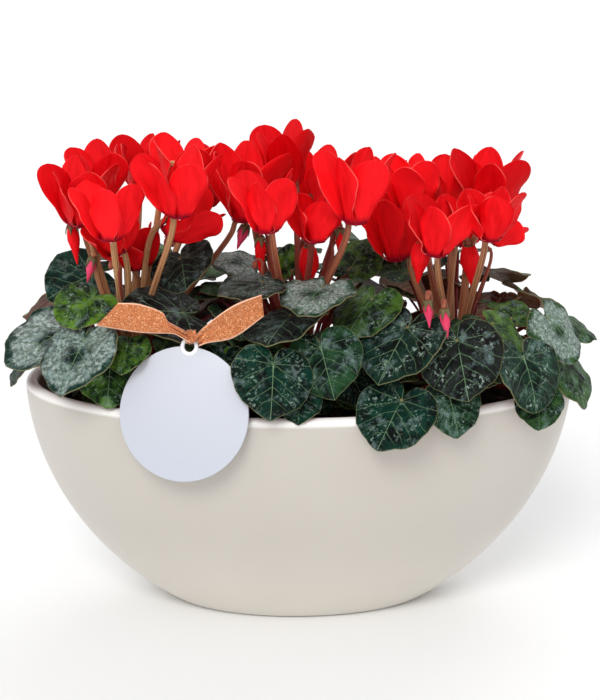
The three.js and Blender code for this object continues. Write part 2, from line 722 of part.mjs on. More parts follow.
// Adds the three plants, each piece cut clear of those before it
function addPlants(group) {
  const names = Object.keys(CROWNS);
  const flowers = {};
  names.forEach((name, i) => {
    flowers[name] = flowersOf(name, 11 + i);
  });
  const taken = [];
  for (const name of names) {
    const solid = joined([cormSolid(CROWNS[name], 0), ...stemsOf(name, flowers[name], 0)]);
    addMesh(group, `corm_${name}`, clearOf(solid, taken), COLOURS.stem);
    taken.push(cormSolid(CROWNS[name], GAP));
    taken.push(...stemsOf(name, flowers[name], GAP));
  }
  taken.push(...enlargedHolders());
  for (const name of names) {
    flowers[name].blooms.forEach((bloom, i) => {
      const solid = clearOf(bloomSolid(bloom, 0), taken);
      addMesh(group, `bloom_${name}_${i + 1}`, solid, COLOURS.petal);
      taken.push(bloomSolid(bloom, GAP));
    });
    flowers[name].buds.forEach((bud, i) => {
      const solid = clearOf(budSolid(bud, 0), taken);
      addMesh(group, `bud_${name}_${i + 1}`, solid, COLOURS[bud.colour]);
      taken.push(budSolid(bud, GAP));
    });
  }
  names.forEach((name, i) => {
    const leaves = leavesOf(name, 31 + 3 * i);
    const crown = CROWNS[name];
    const parts = leaves.flatMap((leaf) => [stalkSolid(leaf, crown, 0), bladeSolid(leaf, 0)]);
    const solid = clearOf(joined([collarSolid(crown), ...parts]), taken);
    addMesh(group, `leaves_${name}`, solid, COLOURS.leaf);
    taken.push(...leaves.flatMap((leaf) => [stalkSolid(leaf, crown, GAP), bladeSolid(leaf, GAP)]));
  });
}

const group = new THREE.Group();
addMesh(group, "pot", bowlSolid(), COLOURS.bowl);
const corms = Object.values(CROWNS).map((crown) => cormSolid(crown, GAP));
addMesh(group, "soil", clearOf(soilSolid(), corms), COLOURS.soil);
addPlants(group);
addMesh(group, "tag", tagSolid(), COLOURS.tag);
addMesh(group, "ribbon", ribbonSolid(), COLOURS.ribbon);

export default group;
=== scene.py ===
"""Looks of a potted cyclamen: red flowers over marbled leaves in an oval ceramic bowl.

The plants are laid out in millimetres with the same rules and the same repeatable draws as the
solids, then built again with fine outlines, veins, folds and materials, and scaled to metres."""

import math
from types import SimpleNamespace

import bmesh
import bpy
import numpy as np
from mathutils import Matrix, Vector, noise
from mathutils.kdtree import KDTree


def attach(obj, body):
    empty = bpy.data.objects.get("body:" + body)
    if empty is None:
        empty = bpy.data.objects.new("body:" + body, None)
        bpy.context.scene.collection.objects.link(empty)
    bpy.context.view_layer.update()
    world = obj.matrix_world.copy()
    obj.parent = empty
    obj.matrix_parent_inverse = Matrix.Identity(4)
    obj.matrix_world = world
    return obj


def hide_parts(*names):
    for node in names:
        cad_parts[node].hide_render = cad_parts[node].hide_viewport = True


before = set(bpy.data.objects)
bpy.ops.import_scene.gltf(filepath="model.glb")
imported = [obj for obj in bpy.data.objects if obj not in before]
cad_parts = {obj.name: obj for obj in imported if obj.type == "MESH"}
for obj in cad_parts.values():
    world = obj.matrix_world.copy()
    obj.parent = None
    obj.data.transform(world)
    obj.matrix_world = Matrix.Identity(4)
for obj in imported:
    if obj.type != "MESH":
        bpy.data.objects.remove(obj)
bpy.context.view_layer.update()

MM = 0.001
WHOLE_TURN = 2 * math.pi
PLAIN = (0, 0, 0)

# Seeds of the repeatable draws, to which each plant adds its number. The leaves and flowers
# start from the same seeds as in the solids.
LEAF_SEED = 31
LEAF_SEED_STEP = 3
FLOWER_SEED = 11
LEAF_LOOK_SEED = 71
FLOWER_LOOK_SEED = 41
FILLER_SEED = 171
EDGE_SEED = 3
CRUMB_SEED = 5

# Camera, in metres and degrees, with its focal length in the picture's own pixels
PICTURE_LONG_SIDE = 700
SENSOR_MM = 36
FOCAL_PIXELS = 2130
CAMERA_AIM = Vector((0, 0, 0.172))
CAMERA_DISTANCE = 1.4
CAMERA_AZIMUTH = -2
CAMERA_ELEVATION = 18

# Bowl, in millimetres like all that follows
BOWL_LENGTH = 360
BOWL_WIDTH = 190
BOWL_HEIGHT = 157
BOWL_CURVE_DEPTH = 180
BOWL_CURVE_POWER = 1.9
BOWL_WALL = 8
BOWL_FLOOR = 10
LIP_RADIUS = BOWL_WALL / 2
FOOT_ROUNDING = 2.5
SIDE_START = 3
BOWL_SIDES = 160

# Soil
SOIL_LEVEL = 135
SOIL_MOUND = 3
SOIL_INSET = BOWL_WALL + 0.6
SOIL_SIDES = 120
SOIL_SIDE_HEIGHTS = (36, 72, 112, SOIL_LEVEL - 3)
SOIL_TOP_SHARES = np.linspace(1, 0.02, 44)
CRUMB_COUNT = 900
CRUMB_SIZES = (0.7, 2.3)
CRUMB_INSET = 14

# Corms and leaf stalks
GAP = 0.35
CROWNS = {"left": (-112, 4), "centre": (-4, 4), "right": (102, 4)}
CROWN_HEIGHT = 146
CORM_RADIUS = 20
CORM_DEPTH = 26
COLLAR_RADIUS = 13
COLLAR_HEIGHT = 4
STALK_RADIUS = 1.45
STALK_STEPS = 15

# Leaf blades: the middle that their rings spread from is a share of the length off the stalk
LEAF_THICKNESS = 0.7
LEAF_MIDDLE = 0.3

# Leaf veins, as shares of a blade's length: the distance between side veins, how they slant and
# bow towards the tip, the widths of midrib and veins, and the net between them. Behind the first
# pair the veins fan out at an angle from each other.
VEIN_STEP = 0.21
VEIN_SLANT = 0.6
VEIN_BOW = 0.6
MIDRIB_HALF_WIDTH = 0.018
MIDRIB_TAPER = 0.01
VEIN_HALF_WIDTH = 0.013
NET_STEP = 0.05
NET_HALF_WIDTH = 0.007
FIRST_VEIN = math.atan(1 / VEIN_SLANT)
FAN_ANGLE = math.radians(35)

# Petals: broadest at a share of their length, and rising to that width by a power of the sine
PETAL_THICKNESS = 0.6
PETAL_THICKNESS_IN_SOLID = 0.9
PETAL_ROOT_WIDTH = 5.4
PETAL_WIDTH = 15
PETAL_WIDENING = 0.24
PETAL_BROADEST = 0.66
PETAL_TAPER = 1.7
PETAL_CURL = 0.14
PETAL_TURNS = (-114, -48, 48, 114, 180)

# Flower tube, stem and mouth, whose rim rolls outwards by the last of these
STEM_RADIUS = 2
TUBE_LENGTH = 11.5
TUBE_TOP_RADIUS = 3.2
HOOK_REACH = 9.5
MOUTH_RADIUS = 5.2
MOUTH_ROLL = 3.2

# Tag and ribbon. The tag's edge has a notch for the eye, which overlaps the card round it.
TAG_CENTRE = (-75, -86.35, 159.2)
TAG_TURN = -18
TAG_LEAN = 18
TAG_RADIUS = 42
TAG_THICKNESS = 1.6
TAG_BEVEL = 0.35
EYE_OUTER = 5.7
EYE_HOLE = 3.4
EYE_THICKNESS = 2.4
EYE_BEVEL = 0.5
EYE_OVERLAP = 0.6
NOTCH_SHARE = 0.969
NOTCH_START = 8
RIBBON_THICKNESS = 0.5
LOOP_RADIUS = 4.2
LOOP_THICKNESS = 1
KNOT = (-69, -77.8, 206.7)
KNOT_TURN = -24

# Leaves: turn and reach from the crown, height over the soil, heading, droop, length, roll
LEAVES = {
    "left": [
        (148, 29, 81, -146, 13, 34, -34),
        (-116, 47, 82, -134, 19, 29, -10),
        (-149, 46, 55, -152, 18, 45, -4),
        (-168, 65, 38, -149, 40, 25, 15),
        (-110, 72, 62, -123, 40, 39, 6),
        (-98, 62, 52, -97, 60, 35, -20),
        (-88, 66, 59, -104, 32, 22, 5),
        (-50, 57, 72, -160, -15, 42, -14),
        (-21, 38, 100, -84, 24, 31, 24),
        (-38, 57, 43, -60, 50, 32, 0),
        (-132, 54, 40, -120, 42, 22, 0),
        (77, 31, 90, 60, -15, 27, 12),
    ],
    "centre": [
        (-114, 52, 93, -154, 4, 31, -5),
        (-94, 51, 72, -116, 6, 39, 12),
        (-100, 89, 52, -94, 48, 36, -12),
        (-79, 77, 59, -73, 49, 34, 24),
        (-89, 87, 30, -99, 35, 19, 0),
        (-74, 58, 92, -119, 10, 34, 0),
        (-127, 76, 44, -112, 66, 33, 25),
        (98, 7, 86, 95, -58, 18, -12),
        (13, 39, 86, 50, -40, 26, 0),
        (172, 30, 89, 160, -20, 27, 0),
        (-60, 62, 40, -45, 48, 30, 0),
    ],
    "right": [
        (-143, 73, 80, -130, 32, 34, 0),
        (-118, 79, 69, -128, 33, 42, -6),
        (-114, 105, 30, -127, 40, 36, -12),
        (-95, 82, 64, -79, 49, 38, 14),
        (-98, 90, 31, -67, 53, 27, 0),
        (-63, 79, 49, -60, 53, 36, -12),
        (-15, 74, 29, -49, 45, 33, -24),
        (-29, 65, 63, -24, 44, 34, 10),
        (5, 74, 48, -13, 17, 24, 0),
        (-70, 54, 65, -12, 28, 27, 0),
        (-41, 45, 62, 76, -30, 18, 0),
        (-56, 84, 23, -96, 47, 22, 0),
        (168, 33, 83, 150, -10, 22, -12),
    ],
}
BACK_SEEDS = {"left": 78, "centre": 7, "right": 16455}

# How yellow, or below 0 how near black, and how silvery each of those leaves is, from 0 to 1
# On the most silvery leaves the silver is partly a painted sheen.
LEAF_TONES = {
    "left": [
        (0.0, 0.15), (0.85, 0.4), (-0.3, 1.0), (-0.3, 0.5), (-0.1, 0.85), (0.7, 0.25),
        (0.75, 0.2), (-0.9, 0.4), (-0.7, 0.1), (-0.4, 0.2), (0.3, 0.3), (0.6, 0.2),
    ],
    "centre": [
        (-0.8, 0.7), (-0.6, 0.3), (0.0, 0.35), (0.1, 0.25), (0.0, 0.2), (0.1, 0.9),
        (-0.3, 0.2), (1.0, 0.1), (0.5, 0.3), (0.0, 0.95), (-0.2, 0.3),
    ],
    "right": [
        (0.4, 0.2), (-0.35, 0.4), (0.0, 0.35), (-0.8, 0.5), (0.1, 0.4), (0.05, 0.65),
        (0.3, 0.3), (0.2, 0.9), (0.3, 0.5), (0.7, 0.2), (0.6, 0.3), (0.2, 0.4), (0.3, 0.4),
    ],
}

# Flowers: the mouth's place, the flower's length, how far it leans to the right, and how far its
# petals spread as a share of their length
BLOOMS = {
    "left": [
        (-140, -28, 266, 39, 2, 0.185),
        (-118.5, -63, 266, 35, -2, 0.185),
        (-115, -33, 249, 25, -22, 0.165),
        (-102, -5, 232, 25, -20, 0.165),
        (-127, 8, 272, 36, -4, 0.17),
        (-102, 43, 269, 36, 2, 0.2),
        (-79, 0, 281, 33, 10, 0.27),
        (-76, -66, 281, 38, -2, 0.365),
        (-64, 32, 262, 37, 6, 0.125),
        (-84, -28, 259, 35, 48, 0.185),
    ],
    "centre": [
        (-37, -16, 265, 47, 2, 0.24),
        (-9, 9, 276, 43, 0, 0.1),
        (-22, -66, 271, 36, -4, 0.125),
        (11, 36, 257, 41, 4, 0.175),
        (8, -45, 259, 30, -1, 0.155),
        (32, -66, 276, 44, 0, 0.14),
    ],
    "right": [
        (53, 42, 249, 38, -6, 0.2),
        (62, 0, 234, 46, -4, 0.16),
        (82, -59, 253, 36, 4, 0.225),
        (70, -3, 266, 36, -2, 0.125),
        (100, 40, 249, 42, 0, 0.185),
        (104, -5, 245, 30, 8, 0.165),
        (122, 16, 256, 43, 6, 0.16),
        (115, -64, 264, 30, 0, 0.18),
        (118, -33, 256, 22, 42, 0.165),
    ],
}

# Buds: the place of the calyx end, the length and radius, the lean and the colour
BUDS = {
    "left": [
        (-146, -10, 261, 27, 4.2, -6, "red"),
        (-132, -28, 244, 17, 3.2, 14, "pink"),
        (-35, -5, 258, 17, 3.6, 20, "pink"),
    ],
    "centre": [
        (-26, -20, 254, 26, 3.8, 0, "red"),
        (25, -25, 260, 20, 3.6, 0, "red"),
        (5, -16, 246, 31, 6.8, 0, "red"),
    ],
    "right": [
        (75, -40, 255, 27, 6.5, 4, "red"),
        (106, -30, 250, 28, 6.5, -6, "red"),
        (76, -77, 228, 18, 3.2, -5, "pink"),
        (86, -79, 223, 19, 3.3, -8, "pink"),
    ],
}

# Young buds on hooked stems: the top of the hook, and which way it hooks
YOUNG_BUDS = {
    "left": [(-86, -30, 256, 1), (-115, -46, 246, -1)],
    "centre": [(-25, -34, 242, -1), (20, -24, 250, 1)],
    "right": [(119, -40, 250, -1)],
}

# How tan each plant's flower stems are, from brown-red at 0 to tan at 1
STEM_TANS = {"left": 0.85, "centre": 0.12, "right": 0.5}

# Ribbon: the middle of each cross-section and half of its width, from the knot outwards
LEFT_TAIL = [
    ((-72, -79.7, 207.2), (-1.5, 0, 3.5)),
    ((-81, -79.2, 212.4), (-2, 0, 3.8)),
    ((-89.5, -78.2, 216.1), (1.9, 0, 6.9)),
    ((-100.6, -77.2, 218.5), (0.8, 0, 8.9)),
    ((-121.3, -75.2, 220.9), (7.1, 0, 7.5)),
]
RIGHT_TAIL = [
    ((-66, -80.2, 204.7), (-1, 0, 3)),
    ((-60.9, -79.7, 208.3), (-0.6, 0, 5.4)),
    ((-43.2, -77.7, 216.3), (0, 0, 10.3)),
    ((-25.5, -75.2, 225.5), (-0.6, 0, 7.2)),
]


def add_object(name, data):
    made = bpy.data.objects.new(name, data)
    bpy.context.scene.collection.objects.link(made)
    return made


def add_camera():
    azimuth = math.radians(CAMERA_AZIMUTH)
    elevation = math.radians(CAMERA_ELEVATION)
    level = math.cos(elevation)
    back = Vector((math.sin(azimuth) * level, -math.cos(azimuth) * level, math.sin(elevation)))
    data = bpy.data.cameras.new("camera")
    data.sensor_width = SENSOR_MM
    data.lens = FOCAL_PIXELS * SENSOR_MM / PICTURE_LONG_SIDE
    camera = add_object("camera", data)
    camera.location = CAMERA_AIM + back * CAMERA_DISTANCE
    camera.rotation_euler = (-back).to_track_quat("-Z", "Y").to_euler()
    bpy.context.scene.camera = camera


class Draws:
    """The repeatable random numbers that the solids were laid out with."""

    def __init__(self, seed):
        self.state = seed * 7919 + 17

    def __call__(self, low, high):
        self.state = (self.state * 1664525 + 1013904223) % 2**32
        return low + (high - low) * self.state / 2**32


# Materials


class Value:
    """A number or colour that varies over a surface: what one shader node gives."""

    def __init__(self, shader, socket):
        self.shader = shader
        self.socket = socket

    def __add__(self, other):
        return self.shader.math("ADD", self, other)

    def __mul__(self, other):
        return self.shader.math("MULTIPLY", self, other)

    def __sub__(self, other):
        return self.shader.math("SUBTRACT", self, other)

    def __rsub__(self, other):
        return self.shader.math("SUBTRACT", other, self)

    def __abs__(self):
        return self.shader.math("ABSOLUTE", self)

    def steps(self, low, high):
        """0 where this is below low, 1 above high, and a smooth rise between them."""
        values = {"Value": self, "From Min": low, "From Max": high}
        return self.shader.node("MapRange", values, "Result", interpolation_type="SMOOTHSTEP")

    def between(self, a, b):
        """A colour that is a where this is 0 and b where this is 1."""
        return self.shader.node("Mix", {0: self, 6: a, 7: b}, 2, data_type="RGBA")

    def tinted(self, colour, share):
        """This colour, with a share of another laid over it."""
        return share.between(self, colour)

    def number_between(self, a, b):
        return self.shader.node("Mix", {0: self, 2: a, 3: b}, data_type="FLOAT")

    __radd__ = __add__
    __rmul__ = __mul__


class Shader:
    """One material's node tree, built up a node at a time."""

    def __init__(self, name, **finish):
        self.material = bpy.data.materials.new(name)
        self.material.use_nodes = True
        self.tree = self.material.node_tree
        self.surface = self.tree.nodes["Principled BSDF"]
        for socket, value in finish.items():
            self.surface.inputs[socket.replace("_", " ")].default_value = value

    def feed(self, socket, value):
        if isinstance(value, Value):
            self.tree.links.new(value.socket, socket)
        else:
            socket.default_value = value

    def node(self, kind, values=(), output=0, **settings):
        """Adds a node with its inputs fed, and gives one of its outputs."""
        made = self.tree.nodes.new("ShaderNode" + kind)
        for name, value in settings.items():
            setattr(made, name, value)
        for socket, value in dict(values).items():
            self.feed(made.inputs[socket], value)
        return Value(self, made.outputs[output])

    def math(self, operation, a, b=0.0):
        return self.node("Math", {0: a, 1: b}, operation=operation)

    def parts(self, name):
        """The three numbers that a point attribute holds."""
        vector = self.node("Attribute", output="Vector", attribute_name=name)
        split = self.node("SeparateXYZ", {0: vector}).socket.node
        return [Value(self, socket) for socket in split.outputs]

    def joined(self, x, y, z):
        return self.node("CombineXYZ", {0: x, 1: y, 2: z})

    def place(self):
        return self.node("TexCoord", output="Object")

    def noise(self, vector, scale, detail=3.0, roughness=0.5):
        values = {"Vector": vector, "Scale": scale, "Detail": detail, "Roughness": roughness}
        return self.node("TexNoise", values)

    def cells(self, vector, scale, output="Distance"):
        return self.node("TexVoronoi", {"Vector": vector, "Scale": scale}, output)

    def cell_draws(self, vector, scale):
        """One random number for each cell."""
        return self.node("SeparateColor", {0: self.cells(vector, scale, "Color")})

    def colour(self, value):
        self.feed(self.surface.inputs["Base Color"], value)

    def roughness(self, value):
        self.feed(self.surface.inputs["Roughness"], value)

    def relief(self, height, distance, strength):
        bump = self.node("Bump", {"Height": height, "Distance": distance, "Strength": strength})
        self.feed(self.surface.inputs["Normal"], bump)


def rgb(red, green, blue):
    return (red, green, blue, 1.0)


def grained_material(name, grain, dark, light, relief=None, **finish):
    """A colour with a fine grain in it, given by its scale, detail and roughness, and its relief."""
    shader = Shader(name, **finish)
    grains = shader.noise(shader.place(), *grain)
    shader.colour(grains.between(dark, light))
    if relief:
        shader.relief(grains, *relief)
    return shader.material


def leaf_veins(shader, x, y):
    """How near a spot of a blade lies to its midrib, its side veins and the net between them.

    The side veins leave the midrib in pairs and curve towards the tip. Behind the first pair they
    fan out from the stalk."""
    side = abs(y)
    reach = shader.math("SQRT", x * x + y * y)
    wander = shader.noise(shader.joined(x, y, 0.0), 4.0) - 0.5
    swerve = wander * shader.math("MINIMUM", side, 0.15)
    forward = x - side * (side * VEIN_BOW + VEIN_SLANT) + swerve
    turn = shader.math("ARCTAN2", side, x) + wander * 0.2
    fanned = reach * shader.math("PINGPONG", turn - FIRST_VEIN, FAN_ANGLE / 2)
    paired = shader.math("PINGPONG", forward, VEIN_STEP / 2) * 0.8
    across = shader.math("GREATER_THAN", forward, 0.0).number_between(fanned, paired)
    midrib = 1 - side.steps(0.004, MIDRIB_HALF_WIDTH - x * MIDRIB_TAPER)
    midrib = midrib * shader.math("GREATER_THAN", x, 0.0)
    lateral = 1 - across.steps(0.002, VEIN_HALF_WIDTH)
    lateral = lateral * reach.steps(0.95, 0.6)
    along = reach + (across * -1.5 + wander * 0.5)
    net = 1 - shader.math("PINGPONG", along, NET_STEP).steps(0.001, NET_HALF_WIDTH)
    return midrib, lateral, net


def leaf_flesh(blotch, yellow):
    """Blotched blue-green, which turns near black or fresh yellow-green."""
    patches = blotch.steps(0.35, 0.65)
    deep = patches.between(rgb(0.0004, 0.002, 0.002), rgb(0.0015, 0.036, 0.022))
    dusk = patches.between(rgb(0.0015, 0.001, 0.002), rgb(0.016, 0.016, 0.015))
    deep = deep.tinted(dusk, yellow.steps(0.0, -1.0))
    fresh = blotch.steps(0.3, 0.7).between(rgb(0.004, 0.05, 0.005), rgb(0.15, 0.32, 0.012))
    return deep.tinted(fresh, yellow * blotch.steps(0.3, 0.62))


def leaf_marbling(shader, grain, share, silver, blotch, speckle):
    """How silver a spot is: clustered flecks in a broken band, or an all-over silver that is partly a
    painted sheen.
    """
    # On the most silvery leaves the silver covers the blade, partly as their own silvering and partly as a
    # painted sheen.
    frost_and_sheen = silver.steps(0.6, 0.9)
    placed = share + (blotch * 0.9 - 0.45)
    inner = frost_and_sheen.number_between(0.34, 0.1)
    band = placed.steps(inner, 0.46) * placed.steps(0.96, 0.8)
    clusters = shader.noise(grain, 2.6, 2.0).steps(0.40, 0.58)
    flecks = speckle.steps(0.54, 0.61) * clusters
    silver_and_sheen = speckle.steps(0.4, 0.62) * 0.68 + 0.24
    marbled = band * frost_and_sheen.number_between(flecks, silver_and_sheen)
    return marbled * (silver * 0.7 + 0.3)


def leaf_top_material():
    """Marbled with silver under patches of painted sheen, with pale veins and a thin pale margin."""
    shader = Shader("leaf_top", Specular_IOR_Level=0.09)
    x, y, share = shader.parts("spot")
    yellow, silver, seed = shader.parts("tone")
    midrib, lateral, net = leaf_veins(shader, x, y)
    veins = shader.math("MAXIMUM", midrib, lateral * 0.7)
    grain = shader.joined(x, y, seed * 40.0)
    blotch = shader.noise(grain, 3.5, 4.0, 0.6)
    speckle = shader.noise(grain, 16.0, 4.0, 0.72)
    marbled = leaf_marbling(shader, grain, share, silver, blotch, speckle)
    # Painted sheen: broad pale blue-grey patches that stand in for the light the glossy leaves reflect.
    painted_sheen = shader.noise(grain, 3.6, 4.0, 0.68).steps(0.51, 0.72)
    margin = share.steps(0.975, 0.995)

    # The marbling's silver, which on the most silvery leaves is partly a painted sheen.
    silver_and_sheen = silver.between(rgb(0.34, 0.52, 0.39), rgb(0.47, 0.58, 0.54))
    green = leaf_flesh(blotch, yellow).tinted(silver_and_sheen, marbled)
    # Lays the painted sheen over the blade.
    green = green.tinted(rgb(0.21, 0.31, 0.30), painted_sheen * 0.6)
    green = green.tinted(rgb(0.14, 0.32, 0.16), net * 0.12)
    green = green.tinted(rgb(0.27, 0.46, 0.25), veins * 0.62)
    shader.colour(green.tinted(rgb(0.25, 0.27, 0.12), margin * 0.5))
    shader.roughness(speckle * 0.3 + 0.18)
    shader.relief(speckle * 0.7 + (veins * -0.8 + net * -0.45), 0.002, 0.9)
    return shader.material


def leaf_under_material():
    """Crimson undersides, with paler veins that stand out."""
    shader = Shader("leaf_under", Roughness=0.5, Specular_IOR_Level=0.12)
    x, y, _ = shader.parts("spot")
    yellow, _, seed = shader.parts("tone")
    midrib, lateral, net = leaf_veins(shader, x, y)
    veins = shader.math("MAXIMUM", midrib, lateral)
    blotch = shader.noise(shader.joined(x, y, seed * 40.0), 3.0)
    flesh = blotch.between(rgb(0.10, 0.010, 0.012), rgb(0.34, 0.06, 0.04))
    flesh = flesh.tinted(rgb(0.24, 0.20, 0.05), yellow * 0.6)
    flesh = flesh.tinted(rgb(0.36, 0.2, 0.13), net * 0.25)
    shader.colour(flesh.tinted(rgb(0.45, 0.26, 0.17), veins * 0.7))
    shader.relief(veins + net * 0.5, 0.001, 0.6)
    return shader.material


def leaf_rim_material():
    dark, light = rgb(0.09, 0.10, 0.04), rgb(0.28, 0.24, 0.12)
    finish = {"Roughness": 0.5, "Specular_IOR_Level": 0.25}
    return grained_material("leaf_rim", (260.0, 2.0), dark, light, **finish)


def stalk_material():
    """Leaf stalks: crimson to brown-red, paler where they enter the blade."""
    shader = Shader("leaf_stalk", Roughness=0.42, Specular_IOR_Level=0.3)
    along, around, _ = shader.parts("spot")
    streak = shader.noise(shader.joined(along * 2.0, around, 0.0), 5.0)
    base = streak.between(rgb(0.10, 0.012, 0.012), rgb(0.30, 0.03, 0.03))
    shader.colour(base.tinted(rgb(0.22, 0.17, 0.06), along.steps(0.85, 1.0)))
    return shader.material


def stem_material():
    """Flower stems: brown-red or tan, with long streaks."""
    shader = Shader("flower_stem", Roughness=0.4, Specular_IOR_Level=0.3)
    along, around, _ = shader.parts("spot")
    tan, seed, _ = shader.parts("tone")
    streak = shader.noise(shader.joined(along * 1.6, around * 3.0, seed), 4.0, 4.0, 0.6)
    contrast = streak.steps(0.32, 0.68)
    brown = contrast.between(rgb(0.07, 0.004, 0.005), rgb(0.52, 0.085, 0.06))
    pale = contrast.between(rgb(0.36, 0.09, 0.02), rgb(0.98, 0.64, 0.30))
    shader.colour(brown.tinted(pale, tan * streak.steps(0.3, 0.5)))
    shader.relief(streak, 0.001, 0.7)
    return shader.material


def calyx_material():
    dark, light = rgb(0.05, 0.035, 0.012), rgb(0.20, 0.15, 0.05)
    return grained_material("calyx", (420.0,), dark, light, relief=(0.0004, 0.6), Roughness=0.55)


def corm_material():
    dark, light, grain = rgb(0.035, 0.02, 0.012), rgb(0.16, 0.09, 0.05), (160.0, 5.0, 0.65)
    return grained_material("corm_skin", grain, dark, light, relief=(0.0015, 0.8), Roughness=0.85)


def petal_material(name, light, dark, edge):
    """Petals: fine veins from root to tip, deeper at the mouth, with a paler rim that is partly their own
    pale edge and partly painted light shining through it.
    """
    shader = Shader(name, Roughness=0.6, Specular_IOR_Level=0.1, Subsurface_Weight=0.15,
                    Subsurface_Radius=(1.0, 0.12, 0.10), Subsurface_Scale=0.003)
    along, across, _ = shader.parts("spot")
    bright, seed, _ = shader.parts("tone")
    vein = shader.noise(shader.joined(across * 7.0, along * 0.9, seed * 30.0), 3.0, 4.0, 0.6)
    cloud = shader.noise(shader.joined(across, along, seed * 17.0), 2.2, 2.0)
    tint = (vein * 0.5 + cloud * 0.5) + (bright * 0.5 - 0.25)
    mouth = along.steps(0.2, 0.02)
    # Paler rim: partly the petals' own pale edge and partly painted light shining through the thin edge.
    rim = abs(across).steps(0.96, 1.0) * cloud.steps(0.46, 0.62)
    flesh = tint.steps(0.25, 0.75).between(dark, light)
    flesh = flesh.tinted(rgb(0.16, 0.0, 0.012), mouth * 0.85)
    shader.colour(flesh.tinted(edge, rim * 0.5))
    shader.relief(vein, 0.0005, 0.45)
    return shader.material


def scarlet_petal_material():
    light, dark, edge = rgb(1.0, 0.008, 0.014), rgb(0.62, 0.0, 0.003), rgb(0.97, 0.2, 0.17)
    return petal_material("scarlet_petal", light, dark, edge)


def pink_petal_material():
    light, dark, edge = rgb(0.9, 0.09, 0.2), rgb(0.6, 0.012, 0.06), rgb(0.95, 0.35, 0.4)
    return petal_material("pink_petal", light, dark, edge)


def stigma_material():
    dark, light = rgb(0.75, 0.3, 0.35), rgb(0.9, 0.62, 0.6)
    return grained_material("stigma", (500.0, 2.0), dark, light, Roughness=0.45)


def glaze_material():
    """The bowl's smooth cream glaze, mottled and softly glossy, with a painted highlight on the lip and
    painted light from the floor that pales it towards the foot.
    """
    shader = Shader("cream_glaze", Roughness=0.36, Coat_Weight=0.2, Coat_Roughness=0.3)
    place = shader.place()
    mottle = shader.noise(place, 14.0, 4.0, 0.55)
    fine = shader.noise(place, 700.0, 2.0)
    _, _, height = shader.parts("spot")
    # Painted highlight: the rounded lip is painted near white where it catches the light.
    lip = height.steps(0.962, 0.98)
    specks = shader.cells(place, 900.0).steps(0.1, 0.02)
    side = mottle.between(rgb(0.525, 0.49, 0.44), rgb(0.57, 0.535, 0.485))
    # Painted light: paler towards the foot, standing in for light thrown up from the floor.
    foot = mottle.between(rgb(0.65, 0.605, 0.54), rgb(0.70, 0.66, 0.59))
    glaze = side.tinted(foot, height.steps(0.5, 0.0))
    glaze = glaze.tinted(rgb(0.93, 0.91, 0.88), lip * 0.9)
    shader.colour(glaze.tinted(rgb(0.35, 0.28, 0.2), specks * 0.12))
    shader.roughness(mottle * 0.14 + 0.3)
    shader.relief(mottle * 3.0 + fine, 0.0002, 0.35)
    return shader.material


def soil_material():
    """Dark peat with pale flakes."""
    shader = Shader("potting_soil", Roughness=0.95)
    place = shader.place()
    grain = shader.noise(place, 190.0, 6.0, 0.7)
    flakes = shader.cell_draws(place, 240.0).steps(0.9, 0.97)
    earth = grain.between(rgb(0.006, 0.004, 0.003), rgb(0.05, 0.03, 0.018))
    shader.colour(earth.tinted(rgb(0.13, 0.085, 0.05), flakes))
    shader.relief(grain + shader.cells(place, 240.0), 0.003, 0.9)
    return shader.material


def tag_material():
    """Blank card with a fine tooth, a little bluer towards the foot."""
    shader = Shader("tag_card", Roughness=0.42, Coat_Weight=0.1)
    _, _, height = shader.parts("spot")
    tooth = shader.noise(shader.place(), 900.0)
    card = height.steps(-1.0, 1.0).between(rgb(0.515, 0.545, 0.62), rgb(0.585, 0.61, 0.675))
    shader.colour(card.tinted(rgb(0.9, 0.9, 0.95), tooth * 0.08))
    shader.relief(tooth, 0.0001, 0.4)
    return shader.material


def eye_material():
    dark, light = rgb(0.84, 0.86, 0.9), rgb(0.92, 0.93, 0.96)
    return grained_material("tag_eye", (600.0, 2.0), dark, light, Roughness=0.3, Coat_Weight=0.3)


def ribbon_material():
    """Copper ribbon: glittering grains, the brightest of them painted glints, between two plain woven
    edges.
    """
    shader = Shader("copper_ribbon", Roughness=0.4, Metallic=0.25, Sheen_Weight=0.2)
    _, across, _ = shader.parts("spot")
    shine = shader.cell_draws(shader.place(), 1900.0)
    edge = abs(across).steps(0.88, 0.94)
    body = shine.between(rgb(0.40, 0.095, 0.024), rgb(0.78, 0.28, 0.09))
    # Painted glints: the brightest grains are painted pale where the glitter would catch the light.
    body = body.tinted(rgb(0.9, 0.55, 0.3), shine.steps(0.9, 0.98))
    shader.colour(body.tinted(rgb(0.98, 0.60, 0.42), edge * 0.8))
    shader.roughness(shine * -0.3 + 0.6)
    shader.relief(shine, 0.0005, 0.6)
    return shader.material


def floor_material():
    dark, light = rgb(0.90, 0.90, 0.90), rgb(0.92, 0.92, 0.92)
    return grained_material("floor_paint", (3.0,), dark, light, Roughness=0.75)


# Meshes


